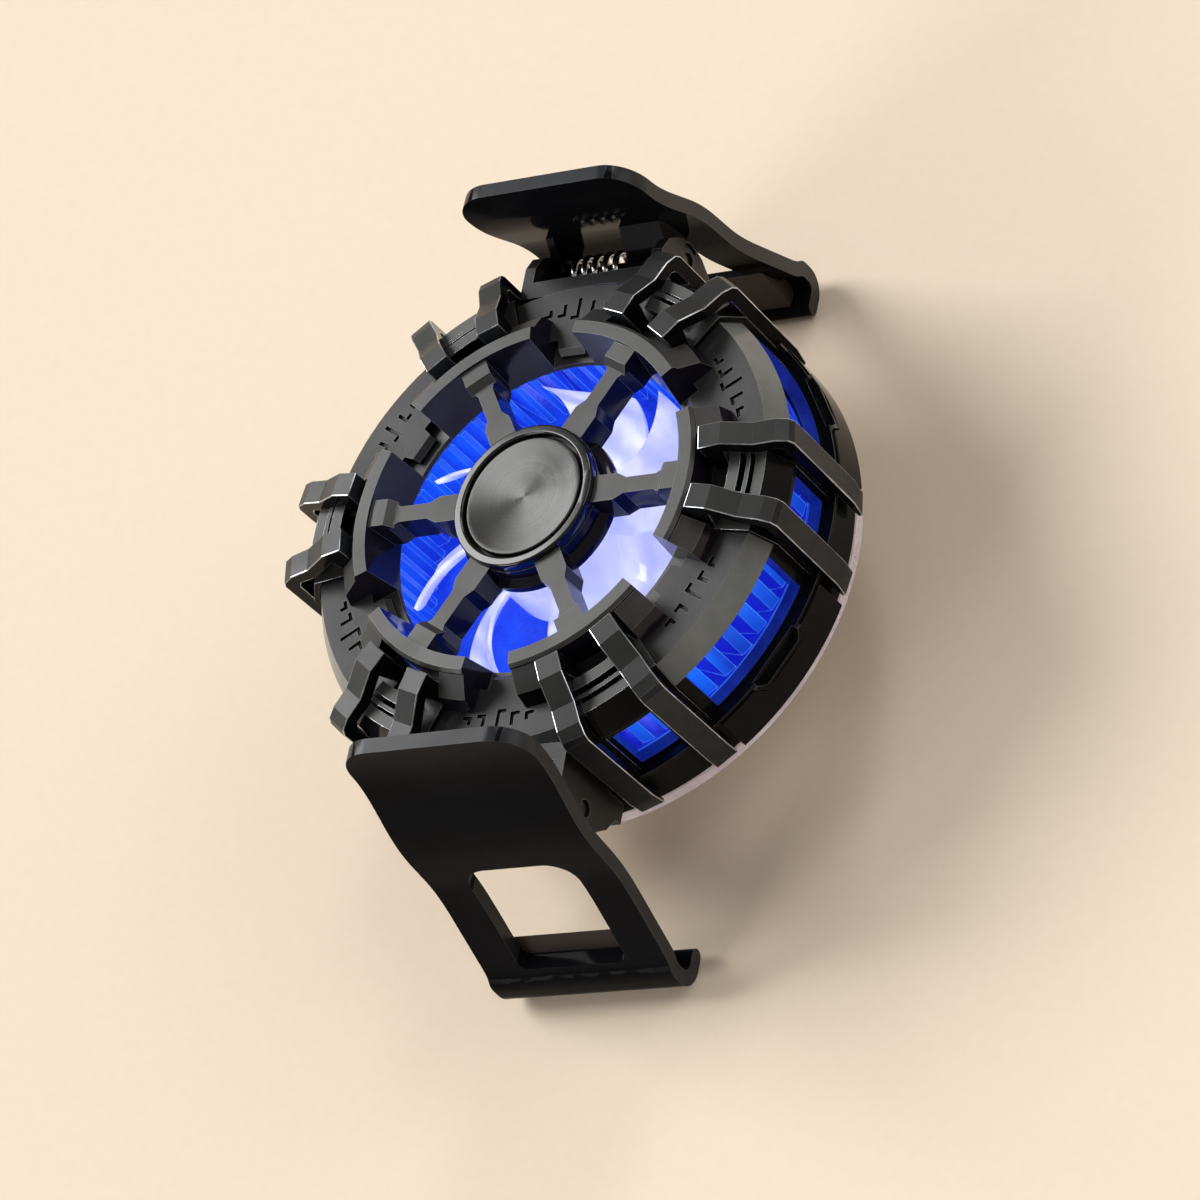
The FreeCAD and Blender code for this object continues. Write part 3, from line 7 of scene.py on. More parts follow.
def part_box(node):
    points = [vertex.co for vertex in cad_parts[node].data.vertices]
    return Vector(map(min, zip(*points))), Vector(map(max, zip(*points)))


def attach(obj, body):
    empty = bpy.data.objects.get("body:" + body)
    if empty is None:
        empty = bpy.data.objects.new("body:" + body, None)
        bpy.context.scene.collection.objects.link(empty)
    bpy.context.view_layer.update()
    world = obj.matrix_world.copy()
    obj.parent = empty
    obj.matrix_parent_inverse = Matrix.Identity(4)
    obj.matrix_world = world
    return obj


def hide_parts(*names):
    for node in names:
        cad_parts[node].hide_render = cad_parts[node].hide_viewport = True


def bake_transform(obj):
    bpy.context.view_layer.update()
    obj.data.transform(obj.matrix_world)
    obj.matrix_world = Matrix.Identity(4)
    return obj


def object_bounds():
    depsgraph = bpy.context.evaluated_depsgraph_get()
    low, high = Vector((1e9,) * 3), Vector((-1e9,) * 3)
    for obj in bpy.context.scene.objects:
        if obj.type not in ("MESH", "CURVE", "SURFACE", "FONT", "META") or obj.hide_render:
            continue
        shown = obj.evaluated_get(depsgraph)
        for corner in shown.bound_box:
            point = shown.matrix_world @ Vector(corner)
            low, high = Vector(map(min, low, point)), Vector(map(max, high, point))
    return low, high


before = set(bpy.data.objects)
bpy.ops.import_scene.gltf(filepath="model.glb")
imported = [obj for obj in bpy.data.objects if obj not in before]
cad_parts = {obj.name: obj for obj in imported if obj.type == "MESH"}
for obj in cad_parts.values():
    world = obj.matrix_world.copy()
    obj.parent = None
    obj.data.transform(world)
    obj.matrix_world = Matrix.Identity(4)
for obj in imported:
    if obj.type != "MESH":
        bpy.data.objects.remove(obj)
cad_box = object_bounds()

# Side wall: the ring under the bezel, with six wide and six narrow windows that let the lit fins show.
# Black ABS, polished in the mould; the windows' jambs carry a painted glow, an emitted wash of the diodes'
# blue. The bezel drops into it from above and the rear cover from below.


def whole_copy(node, rounding, turn=24.0, crisp=34.0, finishes=(), edge_slot=-1):
    """A copy of a CAD node with its loose triangles joined into whole faces and its sharp edges rounded.

    Edges that turn by more than turn degrees are rounded, and edges under crisp degrees are shaded smooth.
    The rounded edges take the finish in edge_slot, so the finishes are put on before the edges are made.
    """
    weld, flat_within, face_weight = 0.000002, 0.8, 100
    bpy.ops.object.select_all(action="DESELECT")
    copy = bpy.data.objects.new(node + "_shell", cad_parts[node].data.copy())
    bpy.context.scene.collection.objects.link(copy)
    copy.data.materials.clear()
    for finish in finishes:
        copy.data.materials.append(finish)
    copy.select_set(True)
    bpy.context.view_layer.objects.active = copy
    bpy.ops.mesh.customdata_custom_splitnormals_clear()
    bpy.ops.object.mode_set(mode="EDIT")
    bpy.ops.mesh.select_all(action="SELECT")
    bpy.ops.mesh.remove_doubles(threshold=weld)
    bpy.ops.mesh.dissolve_limited(angle_limit=math.radians(flat_within))
    bpy.ops.object.mode_set(mode="OBJECT")
    if rounding:
        edges = copy.modifiers.new("RoundedEdges", "BEVEL")
        edges.width = rounding
        edges.segments = 3
        edges.limit_method = "ANGLE"
        edges.angle_limit = math.radians(turn)
        edges.use_clamp_overlap = True
        edges.material = edge_slot
        bpy.ops.object.modifier_apply(modifier=edges.name)
    bpy.ops.object.shade_smooth_by_angle(angle=math.radians(crisp))
    flat = copy.modifiers.new("FlatFaces", "WEIGHTED_NORMAL")
    flat.keep_sharp = True
    flat.weight = face_weight
    bpy.ops.object.modifier_apply(modifier=flat.name)
    return copy


def put_on(piece, node, body):
    """Lets a finished copy stand for its node, on the body that carries it."""
    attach(piece, body)
    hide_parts(node)


def outward(face):
    """The level way from the fan's axis to the middle of a face."""
    return Vector((face.center.x, face.center.y, 0)).normalized()


def add(tree, kind, wires=None, **options):
    """Adds one shader node; wires gives each input a plain value or the socket that feeds it."""
    made = tree.nodes.new(kind)
    for name, option in options.items():
        setattr(made, name, option)
    for name, source in (wires or {}).items():
        if isinstance(source, bpy.types.NodeSocket):
            tree.links.new(source, made.inputs[name])
        else:
            made.inputs[name].default_value = source
    return made


def new_group(name, inputs, outputs):
    """An empty shader group, with the start values of its inputs and the names of the masks it puts out."""
    group = bpy.data.node_groups.new(name, "ShaderNodeTree")
    for label, start in inputs.items():
        made = group.interface.new_socket(name=label, in_out="INPUT", socket_type="NodeSocketFloat")
        made.default_value = start
    for label in outputs:
        group.interface.new_socket(name=label, in_out="OUTPUT", socket_type="NodeSocketFloat")
    return group, group.nodes.new("NodeGroupInput").outputs, group.nodes.new("NodeGroupOutput").inputs


def use(tree, group, **wires):
    """Places a group in a material with that material's own values; returns what it puts out."""
    return add(tree, "ShaderNodeGroup", wires, node_tree=group).outputs


def new_material(name, **sockets):
    """A Principled material with its plain values set; returns the material, its tree and the shader."""
    material = bpy.data.materials.new(name)
    material.use_nodes = True
    shader = material.node_tree.nodes["Principled BSDF"]
    for label, number in sockets.items():
        shader.inputs[label.replace("_", " ")].default_value = number
    return material, material.node_tree, shader


def connect(tree, shader, **channels):
    """Feeds the shader's named channels from the given sockets."""
    for label, source in channels.items():
        tree.links.new(source, shader.inputs[label.replace("_", " ")])


def object_place(tree):
    """The piece's own coordinates."""
    return add(tree, "ShaderNodeTexCoord").outputs["Object"]


def stretched(tree, scale, **turn):
    """The piece's own coordinates, drawn out so that a texture runs in lines."""
    wires = {"Vector": object_place(tree), "Scale": scale, **turn}
    return add(tree, "ShaderNodeMapping", wires).outputs["Vector"]


def noise(tree, place, scale, detail, **more):
    """A noise mask."""
    wires = {"Vector": place, "Scale": scale, "Detail": detail, **more}
    return add(tree, "ShaderNodeTexNoise", wires).outputs["Fac"]


def calc(tree, operation, first, second, **options):
    """One step of arithmetic on two masks or numbers."""
    return add(tree, "ShaderNodeMath", {0: first, 1: second}, operation=operation, **options).outputs[0]


def vector_calc(tree, operation, output, *sources):
    """One step of vector arithmetic; output names the result that is wanted."""
    return add(tree, "ShaderNodeVectorMath", dict(enumerate(sources)), operation=operation).outputs[output]


def blend_colours(tree, mask, first, second):
    """Mixes two colours by a mask; either may be a plain red, green and blue or a socket."""
    ends = [(*colour, 1.0) if isinstance(colour, tuple) else colour for colour in (first, second)]
    return add(tree, "ShaderNodeMix", {0: mask, 6: ends[0], 7: ends[1]}, data_type="RGBA").outputs[2]


def span(tree, source, low, high, start=0.0, stop=1.0):
    """Maps a mask from start..stop to low..high."""
    wires = {"Value": source, "From Min": start, "From Max": stop, "To Min": low, "To Max": high}
    return add(tree, "ShaderNodeMapRange", wires).outputs["Result"]


def relief(tree, height, strength, distance):
    """Turns a height mask into a bumped normal."""
    wires = {"Height": height, "Strength": strength, "Distance": distance}
    return add(tree, "ShaderNodeBump", wires).outputs["Normal"]


# Grain: the fine spark texture of the mould, with a slower mottle that the eye reads as real plastic.
# A larger Size or Mottle makes that one finer.
grain, grain_in, grain_out = new_group("MouldGrain", {"Size": 5200.0, "Mottle": 160.0}, ("Height", "Mottle"))
grain_place = object_place(grain)
grain_fine = noise(grain, grain_place, grain_in["Size"], 3.0, Roughness=0.6)
grain_pits = add(grain, "ShaderNodeTexVoronoi", {"Vector": grain_place, "Scale": grain_in["Size"]})
grain_slow = noise(grain, grain_place, grain_in["Mottle"], 6.0, Roughness=0.62)
grain.links.new(calc(grain, "ADD", grain_fine, grain_pits.outputs["Distance"]), grain_out["Height"])
grain.links.new(span(grain, grain_slow, 0.0, 1.0, 0.3, 0.7), grain_out["Mottle"])

# Edge wear: corners are rubbed a little lighter and smoother than the faces, in broken patches.
# Where the rounded normal turns away from the flat one there is a corner; Reach is its width.
wear, wear_in, wear_out = new_group("EdgeWear", {"Reach": 0.00012, "Amount": 1.0}, ("Mask",))
wear_rounded = add(wear, "ShaderNodeBevel", {"Radius": wear_in["Reach"]}, samples=4).outputs["Normal"]
wear_flat = add(wear, "ShaderNodeNewGeometry").outputs["Normal"]
wear_turn = vector_calc(wear, "DOT_PRODUCT", "Value", wear_rounded, wear_flat)
wear_edge = span(wear, wear_turn, 1.0, 0.0, 0.86, 0.995)
wear_spots = noise(wear, object_place(wear), 420.0, 5.0, Roughness=0.7)
wear_broken = calc(wear, "MULTIPLY", wear_edge, span(wear, wear_spots, 0.2, 1.0, 0.35, 0.6))
wear.links.new(calc(wear, "MULTIPLY", wear_broken, wear_in["Amount"], use_clamp=True), wear_out["Mask"])

# Handling: broad fingertip haze and thin hairline scratches, which only change how glossy a face is.
# A larger Haze or Hairlines makes that one finer.
handling, handling_in, handling_out = new_group("Handling", {"Haze": 90.0, "Hairlines": 700.0},
                                                ("Haze", "Hairlines"))
haze_noise = noise(handling, object_place(handling), handling_in["Haze"], 4.0, Distortion=0.8)
hair_place = stretched(handling, (1.0, 0.04, 1.0), Rotation=(0.3, 0.7, 0.5))
hair_noise = noise(handling, hair_place, handling_in["Hairlines"], 2.0)
handling.links.new(span(handling, haze_noise, 0.0, 1.0, 0.35, 0.68), handling_out["Haze"])
handling.links.new(span(handling, hair_noise, 0.0, 1.0, 0.62, 0.7), handling_out["Hairlines"])


def gloss_plastic(name, colour, roughness, coat=0.0, bend=1.22):
    """Polished moulding: near black, with haze and hairlines in the gloss and a faintly uneven surface."""
    material, tree, shader = new_material(name, IOR=bend, Coat_Weight=coat, Coat_Roughness=0.04)
    texture = use(tree, grain, Size=900.0, Mottle=120.0)
    rubbed = use(tree, wear, Reach=0.0001, Amount=0.7)
    touched = use(tree, handling, Haze=75.0, Hairlines=900.0)
    deep = tuple(0.6 * part for part in colour)
    edge = tuple(min(1.0, 5.0 * part + 0.02) for part in colour)
    body = blend_colours(tree, texture["Mottle"], deep, colour)
    hazy = span(tree, touched["Haze"], roughness, roughness + 0.09)
    connect(tree, shader, Base_Color=blend_colours(tree, rubbed["Mask"], body, edge),
            Roughness=calc(tree, "ADD", hazy, span(tree, touched["Hairlines"], 0.0, 0.05)),
            Normal=relief(tree, texture["Mottle"], 0.03, 0.00003))
    return material


def mottled(name, size, mottle, dark, light, rough=None, haze=None, glow=None, metal=None, worn=None,
            bump=None, **sockets):
    """A material whose colour follows the mottle, as do its roughness, glow and metal if their ends are given.

    haze gives the sizes of the handling marks, whose haze then leads the roughness. worn is the colour of its
    rubbed edges, and bump the strength and depth of its grain.
    """
    material, tree, shader = new_material(name, **sockets)
    texture = use(tree, grain, Size=size, Mottle=mottle)
    body = blend_colours(tree, texture["Mottle"], dark, light)
    if worn:
        body = blend_colours(tree, use(tree, wear, Reach=0.0001, Amount=1.0)["Mask"], body, worn)
    connect(tree, shader, Base_Color=body)
    if rough:
        lead = use(tree, handling, Haze=haze[0], Hairlines=haze[1])["Haze"] if haze else texture["Mottle"]
        connect(tree, shader, Roughness=span(tree, lead, *rough))
    if glow:
        connect(tree, shader, Emission_Color=blend_colours(tree, texture["Mottle"], *glow))
    if metal:
        connect(tree, shader, Metallic=span(tree, texture["Mottle"], *metal))
    if bump:
        connect(tree, shader, Normal=relief(tree, texture["Height"], *bump))
    return material


black_gloss = gloss_plastic("HousingGloss", (0.007, 0.0075, 0.009), 0.10, bend=1.16)
# Painted glow: the jambs' blue emission stands for the diodes' light falling on them; the jambs are no lamp.
jamb_painted_glow = mottled("JambPaintedGlow", 900.0, 260.0, (0.010, 0.012, 0.030), (0.016, 0.020, 0.050),
                   glow=((0.004, 0.008, 0.22), (0.010, 0.045, 0.62)), Roughness=0.25, Emission_Strength=0.4)
window_low, window_high, wall_outside, faces_out = 0.0063, 0.0117, 0.0236, 0.3
side_wall = whole_copy("window_housing", 0.00010, finishes=(black_gloss, jamb_painted_glow))
for face in side_wall.data.polygons:
    in_window = window_low < face.center.z < window_high and face.center.xy.length < wall_outside
    if in_window and face.normal.dot(outward(face)) < faces_out:
        face.material_index = 1
put_on(side_wall, "window_housing", "housing")

# Lower band: the ledge that runs under the windows and dips round each panel's notch.
# The same black moulding, but the ledge's upward-facing lip carries a painted sheen, a lighter metallic grey.
# It is pressed over the side wall.
# Painted sheen: the lip's upward faces are painted a lighter metallic grey than the black band.
ledge_painted_sheen = mottled("LedgePaintedSheen", 2600.0, 300.0, (0.060, 0.062, 0.054), (0.14, 0.14, 0.125),
                      rough=(0.16, 0.34), haze=(200.0, 1500.0), metal=(0.35, 0.6), Specular_IOR_Level=0.6,
                      Coat_Weight=0.4, Coat_Roughness=0.08)
lip_low, lip_inside, lip_rise = 0.0057, 0.02435, 0.3
lower_band = whole_copy("lower_band", 0.00008, finishes=(black_gloss, ledge_painted_sheen), edge_slot=1)
for face in lower_band.data.polygons:
    if face.center.z > lip_low and face.normal.z > lip_rise and face.center.xy.length > lip_inside:
        face.material_index = 1
put_on(lower_band, "lower_band", "housing")

# Trim panels: four notched gloss plates between the cross frames, one of them with the charging port.
# Piano-black mouldings, polished on the outside, clipped over the band.


def show(node, body, rounding, finish):
    """A rounded copy in one finish, put in its node's place."""
    put_on(whole_copy(node, rounding, finishes=(finish,)), node, body)


panel_gloss = gloss_plastic("PanelGloss", (0.006, 0.006, 0.007), 0.05, bend=1.18)
for number in range(1, 5):
    show("trim_panel_%d" % number, "housing", 0.00009, panel_gloss)

# Clear light ring: the thin milky ring at the very back, with a faint painted glow, an emission standing for
# the fins' light that it carries outward.
# Cast acrylic with a blush of pink, frosted inside by fine bubbles. It is trapped under the side wall.
# Painted glow: a faint pink-white emission, though the ring is no lamp.
light_ring = mottled("MilkyAcrylicPaintedGlow", 1800.0, 220.0, (0.78, 0.72, 0.72), (0.92, 0.88, 0.87),
                     rough=(0.10, 0.32), haze=(160.0, 1200.0), glow=((0.60, 0.44, 0.50), (1.0, 0.86, 0.86)),
                     Specular_IOR_Level=0.5, IOR=1.49, Transmission_Weight=0.7, Emission_Strength=0.1)
show("clear_light_ring", "housing", 0.00012, light_ring)

# Rear cover: the textured black annulus round the cold plate, with four screw bosses.
# Moulded in the same nylon as the bezel and left with the mould's coarse grain.


def satin_plastic(name, colour, lighter, roughness, bump=0.35, worn=(0.19, 0.19, 0.185), size=5200.0,
                  shine=0.5):
    """Textured moulding: grained and mottled, lighter and smoother where its edges are rubbed."""
    material, tree, shader = new_material(name, Specular_IOR_Level=shine)
    texture = use(tree, grain, Size=size, Mottle=190.0)
    rubbed = use(tree, wear, Reach=0.00014, Amount=0.85)["Mask"]
    touched = use(tree, handling, Haze=110.0, Hairlines=800.0)
    body = blend_colours(tree, texture["Mottle"], colour, lighter)
    hazy = span(tree, touched["Haze"], roughness - 0.05, roughness + 0.06)
    connect(tree, shader, Base_Color=blend_colours(tree, rubbed, body, worn),
            Roughness=calc(tree, "SUBTRACT", hazy, span(tree, rubbed, 0.0, 0.14)),
            Normal=relief(tree, texture["Height"], bump, 0.000012))
    return material


cover_satin = satin_plastic("CoverSatin", (0.016, 0.016, 0.017), (0.028, 0.028, 0.028), 0.56, bump=0.6,
                            size=3600.0)
show("rear_cover", "housing", 0.00012, cover_satin)

# Rear cover screws: four blackened steel machine screws with cross recesses.
# Turned and rolled, then oxide-blackened, with the bare steel showing where a driver has rubbed the recess.
screw_black = mottled("BlackenedSteel", 2400.0, 700.0, (0.045, 0.045, 0.05), (0.09, 0.088, 0.085),
                      rough=(0.26, 0.44), worn=(0.42, 0.41, 0.39), Metallic=1.0, Specular_IOR_Level=0.5)


def cross_recess(screws, place, driving, width=0.0013, slot_width=0.0003, depth=0.00034):
    """Cuts a driver's cross into a screw head at a place; driving is the way that the driver points."""
    turn = Vector((0, 0, 1)).rotation_difference(Vector(driving)).to_euler()
    for wide, narrow in ((width, slot_width), (slot_width, width)):
        bpy.ops.object.select_all(action="DESELECT")
        bpy.ops.mesh.primitive_cube_add(size=1.0, location=place, rotation=turn)
        cutter = bpy.context.active_object
        cutter.scale = (wide, narrow, 2 * depth)
        bpy.ops.object.transform_apply(location=True, rotation=True, scale=True)
        bpy.context.view_layer.objects.active = screws
        cut = screws.modifiers.new("Recess", "BOOLEAN")
        cut.operation = "DIFFERENCE"
        cut.solver = "EXACT"
        cut.object = cutter
        bpy.ops.object.modifier_apply(modifier=cut.name)
        bpy.data.objects.remove(cutter)


def finish_screws(screws, node):
    """Blackens the cut screws and puts them in their node's place."""
    screws.data.materials.clear()
    screws.data.materials.append(screw_black)
    put_on(screws, node, "housing")


cover_screws = whole_copy("cover_screws", 0.00008)
screw_circle, screw_low = 0.019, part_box("cover_screws")[0].z
for quarter in range(4):
    heading = math.radians(90 * quarter)
    head_at = (screw_circle * math.cos(heading), screw_circle * math.sin(heading), screw_low)
    cross_recess(cover_screws, head_at, (0, 0, 1))
finish_screws(cover_screws, "cover_screws")

# Cold plate: the round plate that lies against the phone's back.
# Aluminium, milled and then lapped flat in one direction, so that it shows fine parallel lines.
lapped, lapped_tree, lapped_shader = new_material("LappedAluminium", Metallic=1.0, Anisotropic=0.35)
lapped_lines = noise(lapped_tree, stretched(lapped_tree, (0.02, 1.0, 1.0)), 5200.0, 3.0)
lapped_touch = use(lapped_tree, handling, Haze=120.0, Hairlines=700.0)
connect(lapped_tree, lapped_shader,
        Base_Color=blend_colours(lapped_tree, lapped_lines, (0.55, 0.56, 0.58), (0.80, 0.80, 0.81)),
        Roughness=span(lapped_tree, lapped_touch["Haze"], 0.26, 0.32),
        Normal=relief(lapped_tree, lapped_lines, 0.25, 0.000008))
show("cold_plate", "housing", 0.00022, lapped)

# Thermoelectric module: two white ceramic plates with the semiconductor block between them.
# Alumina, which is matt with a faint sandy grain. It is clamped between the cold plate and the heat sink.


def dress(node, material):
    """Gives its material to a CAD node that is shown as it is."""
    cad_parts[node].data.materials.clear()
    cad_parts[node].data.materials.append(material)


dress("peltier_module", mottled("Alumina", 2800.0, 350.0, (0.74, 0.72, 0.68), (0.86, 0.85, 0.82),
                                rough=(0.48, 0.62), bump=(0.3, 0.00001), Specular_IOR_Level=0.45))

# Insulation ring: the foam collar that keeps the cold plate's chill away from the heat sink.
# Closed-cell black foam, die cut, so that its cells show as small round pits.
foam, foam_tree, foam_shader = new_material("CellFoam", Specular_IOR_Level=0.3)
foam_pits = add(foam_tree, "ShaderNodeTexVoronoi", {"Vector": object_place(foam_tree), "Scale": 2200.0,
                                                    "Randomness": 1.0}).outputs["Distance"]
foam_texture = use(foam_tree, grain, Size=4000.0, Mottle=260.0)
connect(foam_tree, foam_shader,
        Base_Color=blend_colours(foam_tree, foam_pits, (0.004, 0.004, 0.004), (0.035, 0.035, 0.036)),
        Roughness=span(foam_tree, foam_texture["Mottle"], 0.78, 0.95),
        Normal=relief(foam_tree, foam_pits, 0.7, 0.00006))
dress("insulation_ring", foam)

# Heat sink: the ring of leaning fins that shows bright blue through the windows and the grille.
# Skived aluminium, anodised blue. Its glow is painted light from the diode ring above: an emission brightest on
# the fins' outer ends, near their inner ends and towards the top, some more than others, with a painted paler
# glint on their corners and painted violet shade in the gaps.
fins_blue_painted_glow, fins_tree, fins_shader = new_material("BlueAnodisePaintedGlow", Metallic=0.3, Specular_IOR_Level=0.25,
                                                 Emission_Strength=1.0)
fins_place = object_place(fins_tree)
fins_flat = vector_calc(fins_tree, "MULTIPLY", "Vector", fins_place, (1.0, 1.0, 0.0))
fins_out = vector_calc(fins_tree, "LENGTH", "Value", fins_flat)
fins_up = add(fins_tree, "ShaderNodeSeparateXYZ", {"Vector": fins_place}).outputs["Z"]
fins_top_painted_light = span(fins_tree, fins_up, 0.55, 1.0, 0.0064, 0.0100)
fins_heading = vector_calc(fins_tree, "NORMALIZE", "Vector", fins_flat)
fins_facing = vector_calc(fins_tree, "DOT_PRODUCT", "Value", fins_heading,
                          add(fins_tree, "ShaderNodeNewGeometry").outputs["Normal"])
fins_rim_painted_light = span(fins_tree, fins_facing, 0.0, 1.0, 0.72, 0.86)
fins_inner_painted_light = span(fins_tree, fins_out, 0.5, 0.1, 0.0154, 0.0205)
fins_streaks = noise(fins_tree, stretched(fins_tree, (1.0, 1.0, 0.05)), 1500.0, 4.0)
fins_patches = noise(fins_tree, fins_flat, 210.0, 1.0)
# Painted light: the glow is strongest on outward-facing fin ends, near the inner radius and towards the top.
fins_painted_light = calc(fins_tree, "MULTIPLY", calc(fins_tree, "MAXIMUM", fins_rim_painted_light, fins_inner_painted_light), fins_top_painted_light)
fins_painted_light_patches = calc(fins_tree, "MULTIPLY", fins_painted_light, span(fins_tree, fins_patches, 0.45, 1.0, 0.4, 0.6))
fins_painted_glow = calc(fins_tree, "MULTIPLY", fins_painted_light_patches, span(fins_tree, fins_streaks, 0.85, 1.0, 0.3, 0.7))
# Painted glint: the fins' rounded corners glow a paler blue.
fins_edge_painted_glint = use(fins_tree, wear, Reach=0.00012, Amount=0.7)["Mask"]
# Painted shade and glow: violet where little painted light falls, rising to bright blue where it is strongest.
fins_painted_shade_and_glow = blend_colours(fins_tree, fins_painted_glow, (0.006, 0.004, 0.28), (0.010, 0.160, 1.0))
connect(fins_tree, fins_shader,
        Base_Color=blend_colours(fins_tree, fins_streaks, (0.002, 0.02, 0.30), (0.01, 0.08, 0.60)),
        Emission_Color=blend_colours(fins_tree, fins_edge_painted_glint, fins_painted_shade_and_glow, (0.12, 0.42, 1.0)),
        Roughness=span(fins_tree, fins_streaks, 0.2, 0.38))
dress("heat_sink", fins_blue_painted_glow)

# Diode ring: twelve blue diodes on a ring board above the fins, shining down between them.
# Black solder-masked board with a fine weave under the mask; each diode has a bright lens face.
board_black, board_tree, board_shader = new_material("MaskedBoard", Specular_IOR_Level=0.5, Coat_Weight=0.3)
board_weave = add(board_tree, "ShaderNodeTexChecker", {"Vector": object_place(board_tree), "Scale": 3000.0})
board_texture = use(board_tree, grain, Size=2500.0, Mottle=300.0)["Mottle"]
connect(board_tree, board_shader,
        Base_Color=blend_colours(board_tree, board_texture, (0.008, 0.010, 0.018), (0.020, 0.024, 0.040)),
        Roughness=span(board_tree, board_texture, 0.28, 0.42),
        Normal=relief(board_tree, board_weave.outputs["Fac"], 0.15, 0.00001))
diode_lens = mottled("DiodeLens", 1500.0, 500.0, (0.5, 0.6, 0.9), (0.8, 0.85, 1.0),
                     glow=((0.05, 0.16, 1.0), (0.22, 0.36, 1.0)), Roughness=0.3, Emission_Strength=3.0)
led_ring = whole_copy("led_board", 0.0, finishes=(board_black, diode_lens))
lens_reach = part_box("led_board")[0].z + 0.0003
for face in led_ring.data.polygons:
    if face.center.z < lens_reach:
        face.material_index = 1
put_on(led_ring, "led_board", "housing")

# Control board: the small curved board behind the charging port that drives the fan and the module.
# Green solder mask over copper tracks, which show through as lighter lines.
mask_green, mask_tree, mask_shader = new_material("GreenMask", Specular_IOR_Level=0.5, Coat_Weight=0.4)
mask_tracks = add(mask_tree, "ShaderNodeTexBrick", {
    "Vector": object_place(mask_tree), "Scale": 650.0, "Mortar Size": 0.06, "Color1": (0, 0, 0, 1),
    "Color2": (0.25, 0.25, 0.25, 1), "Mortar": (1, 1, 1, 1)}).outputs["Fac"]
mask_texture = use(mask_tree, grain, Size=2500.0, Mottle=400.0)
connect(mask_tree, mask_shader,
        Base_Color=blend_colours(mask_tree, mask_tracks, (0.004, 0.045, 0.018), (0.03, 0.16, 0.06)),
        Roughness=span(mask_tree, mask_texture["Mottle"], 0.22, 0.36))
dress("control_board", mask_green)

# Charging socket: a drawn steel shell round a black tongue with its row of gold contacts.
# The shell is nickel plated and slightly brushed. It is soldered to the control board behind its panel.
plated = mottled("NickelPlate", 3000.0, 600.0, (0.46, 0.44, 0.41), (0.66, 0.64, 0.60), rough=(0.18, 0.36),
                 haze=(260.0, 2200.0), Metallic=1.0)
tongue_black = satin_plastic("TongueBlack", (0.010, 0.010, 0.011), (0.018, 0.018, 0.018), 0.42, bump=0.2)
socket_shell = whole_copy("usb_c_socket", 0.00005, finishes=(plated, tongue_black))
socket_middle = (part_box("usb_c_socket")[0].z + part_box("usb_c_socket")[1].z) / 2
port_angle = math.radians(150)
port_heading = Vector((math.cos(port_angle), math.sin(port_angle), 0))
port_across = Vector((-port_heading.y, port_heading.x, 0))
tongue_rise, tongue_side, tongue_out = 0.0005, 0.0033, 0.0243
for face in socket_shell.data.polygons:
    in_height = abs(face.center.z - socket_middle) < tongue_rise
    in_width = abs(face.center.dot(port_across)) < tongue_side
    if in_height and in_width and face.center.dot(port_heading) < tongue_out:
        face.material_index = 1
put_on(socket_shell, "usb_c_socket", "housing")
gold = mottled("ContactGold", 3000.0, 900.0, (0.72, 0.48, 0.16), (0.90, 0.66, 0.28), rough=(0.2, 0.34),
               Metallic=1.0)
contact_out, contact_pitch, contact_rise = 0.0214, 0.00048, 0.00036
contact_size = (0.0034, 0.00024, 0.00006)
bpy.ops.object.select_all(action="DESELECT")
contact_blocks = []
for row in (-1, 1):
    for column in range(12):
        place = port_heading * contact_out + port_across * (column - 5.5) * contact_pitch
        bpy.ops.mesh.primitive_cube_add(
            size=1.0, location=(place.x, place.y, socket_middle + row * contact_rise),
            rotation=(0, 0, port_angle), scale=contact_size)
        contact_blocks.append(bpy.context.active_object)
for block in contact_blocks:
    block.select_set(True)
bpy.ops.object.transform_apply(location=True, rotation=True, scale=True)
bpy.ops.object.join()
contacts = bpy.context.active_object
contacts.name = "socket_contacts"
contact_edges = contacts.modifiers.new("RoundedEdges", "BEVEL")
contact_edges.width = 0.00002
bpy.ops.object.modifier_apply(modifier=contact_edges.name)
contacts.data.materials.append(gold)
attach(contacts, "housing")

# Motor: the base with its bearing tube, the toothed stator, a sintered bush, the magnet ring and the shaft.
# The base is black nylon like the cover; the rest are bare metals. All of it sits inside the fan's hub.
dress("motor_base", cover_satin)


def bare_metal(name, dark, bright, smooth, rough, stretch, scale):
    """A bare metal whose machining or grinding marks run one way; stretch draws the marks out."""
    material, tree, shader = new_material(name, Metallic=1.0)
    marks = noise(tree, stretched(tree, stretch), scale, 4.0)
    touched = use(tree, handling, Haze=220.0, Hairlines=1600.0)
    connect(tree, shader, Base_Color=blend_colours(tree, marks, dark, bright),
            Roughness=span(tree, touched["Haze"], smooth, rough), Normal=relief(tree, marks, 0.2, 0.00001))
    return material


for node, metal in (
        ("stator", bare_metal("StackedIron", (0.16, 0.16, 0.17), (0.42, 0.42, 0.43), 0.4, 0.6,
                              (0.05, 0.05, 1.0), 5000.0)),
        ("bearing_bush", bare_metal("SinteredBronze", (0.34, 0.22, 0.09), (0.66, 0.46, 0.22), 0.35, 0.5,
                                    (1, 1, 1), 3200.0)),
        ("rotor_magnet", bare_metal("GroundMagnet", (0.10, 0.10, 0.11), (0.22, 0.22, 0.23), 0.45, 0.62,
                                    (1, 1, 0.1), 2400.0)),
        ("motor_shaft", bare_metal("GroundSteel", (0.50, 0.50, 0.51), (0.80, 0.80, 0.80), 0.12, 0.24,
                                   (0.05, 0.05, 1), 4200.0))):
    dress(node, metal)
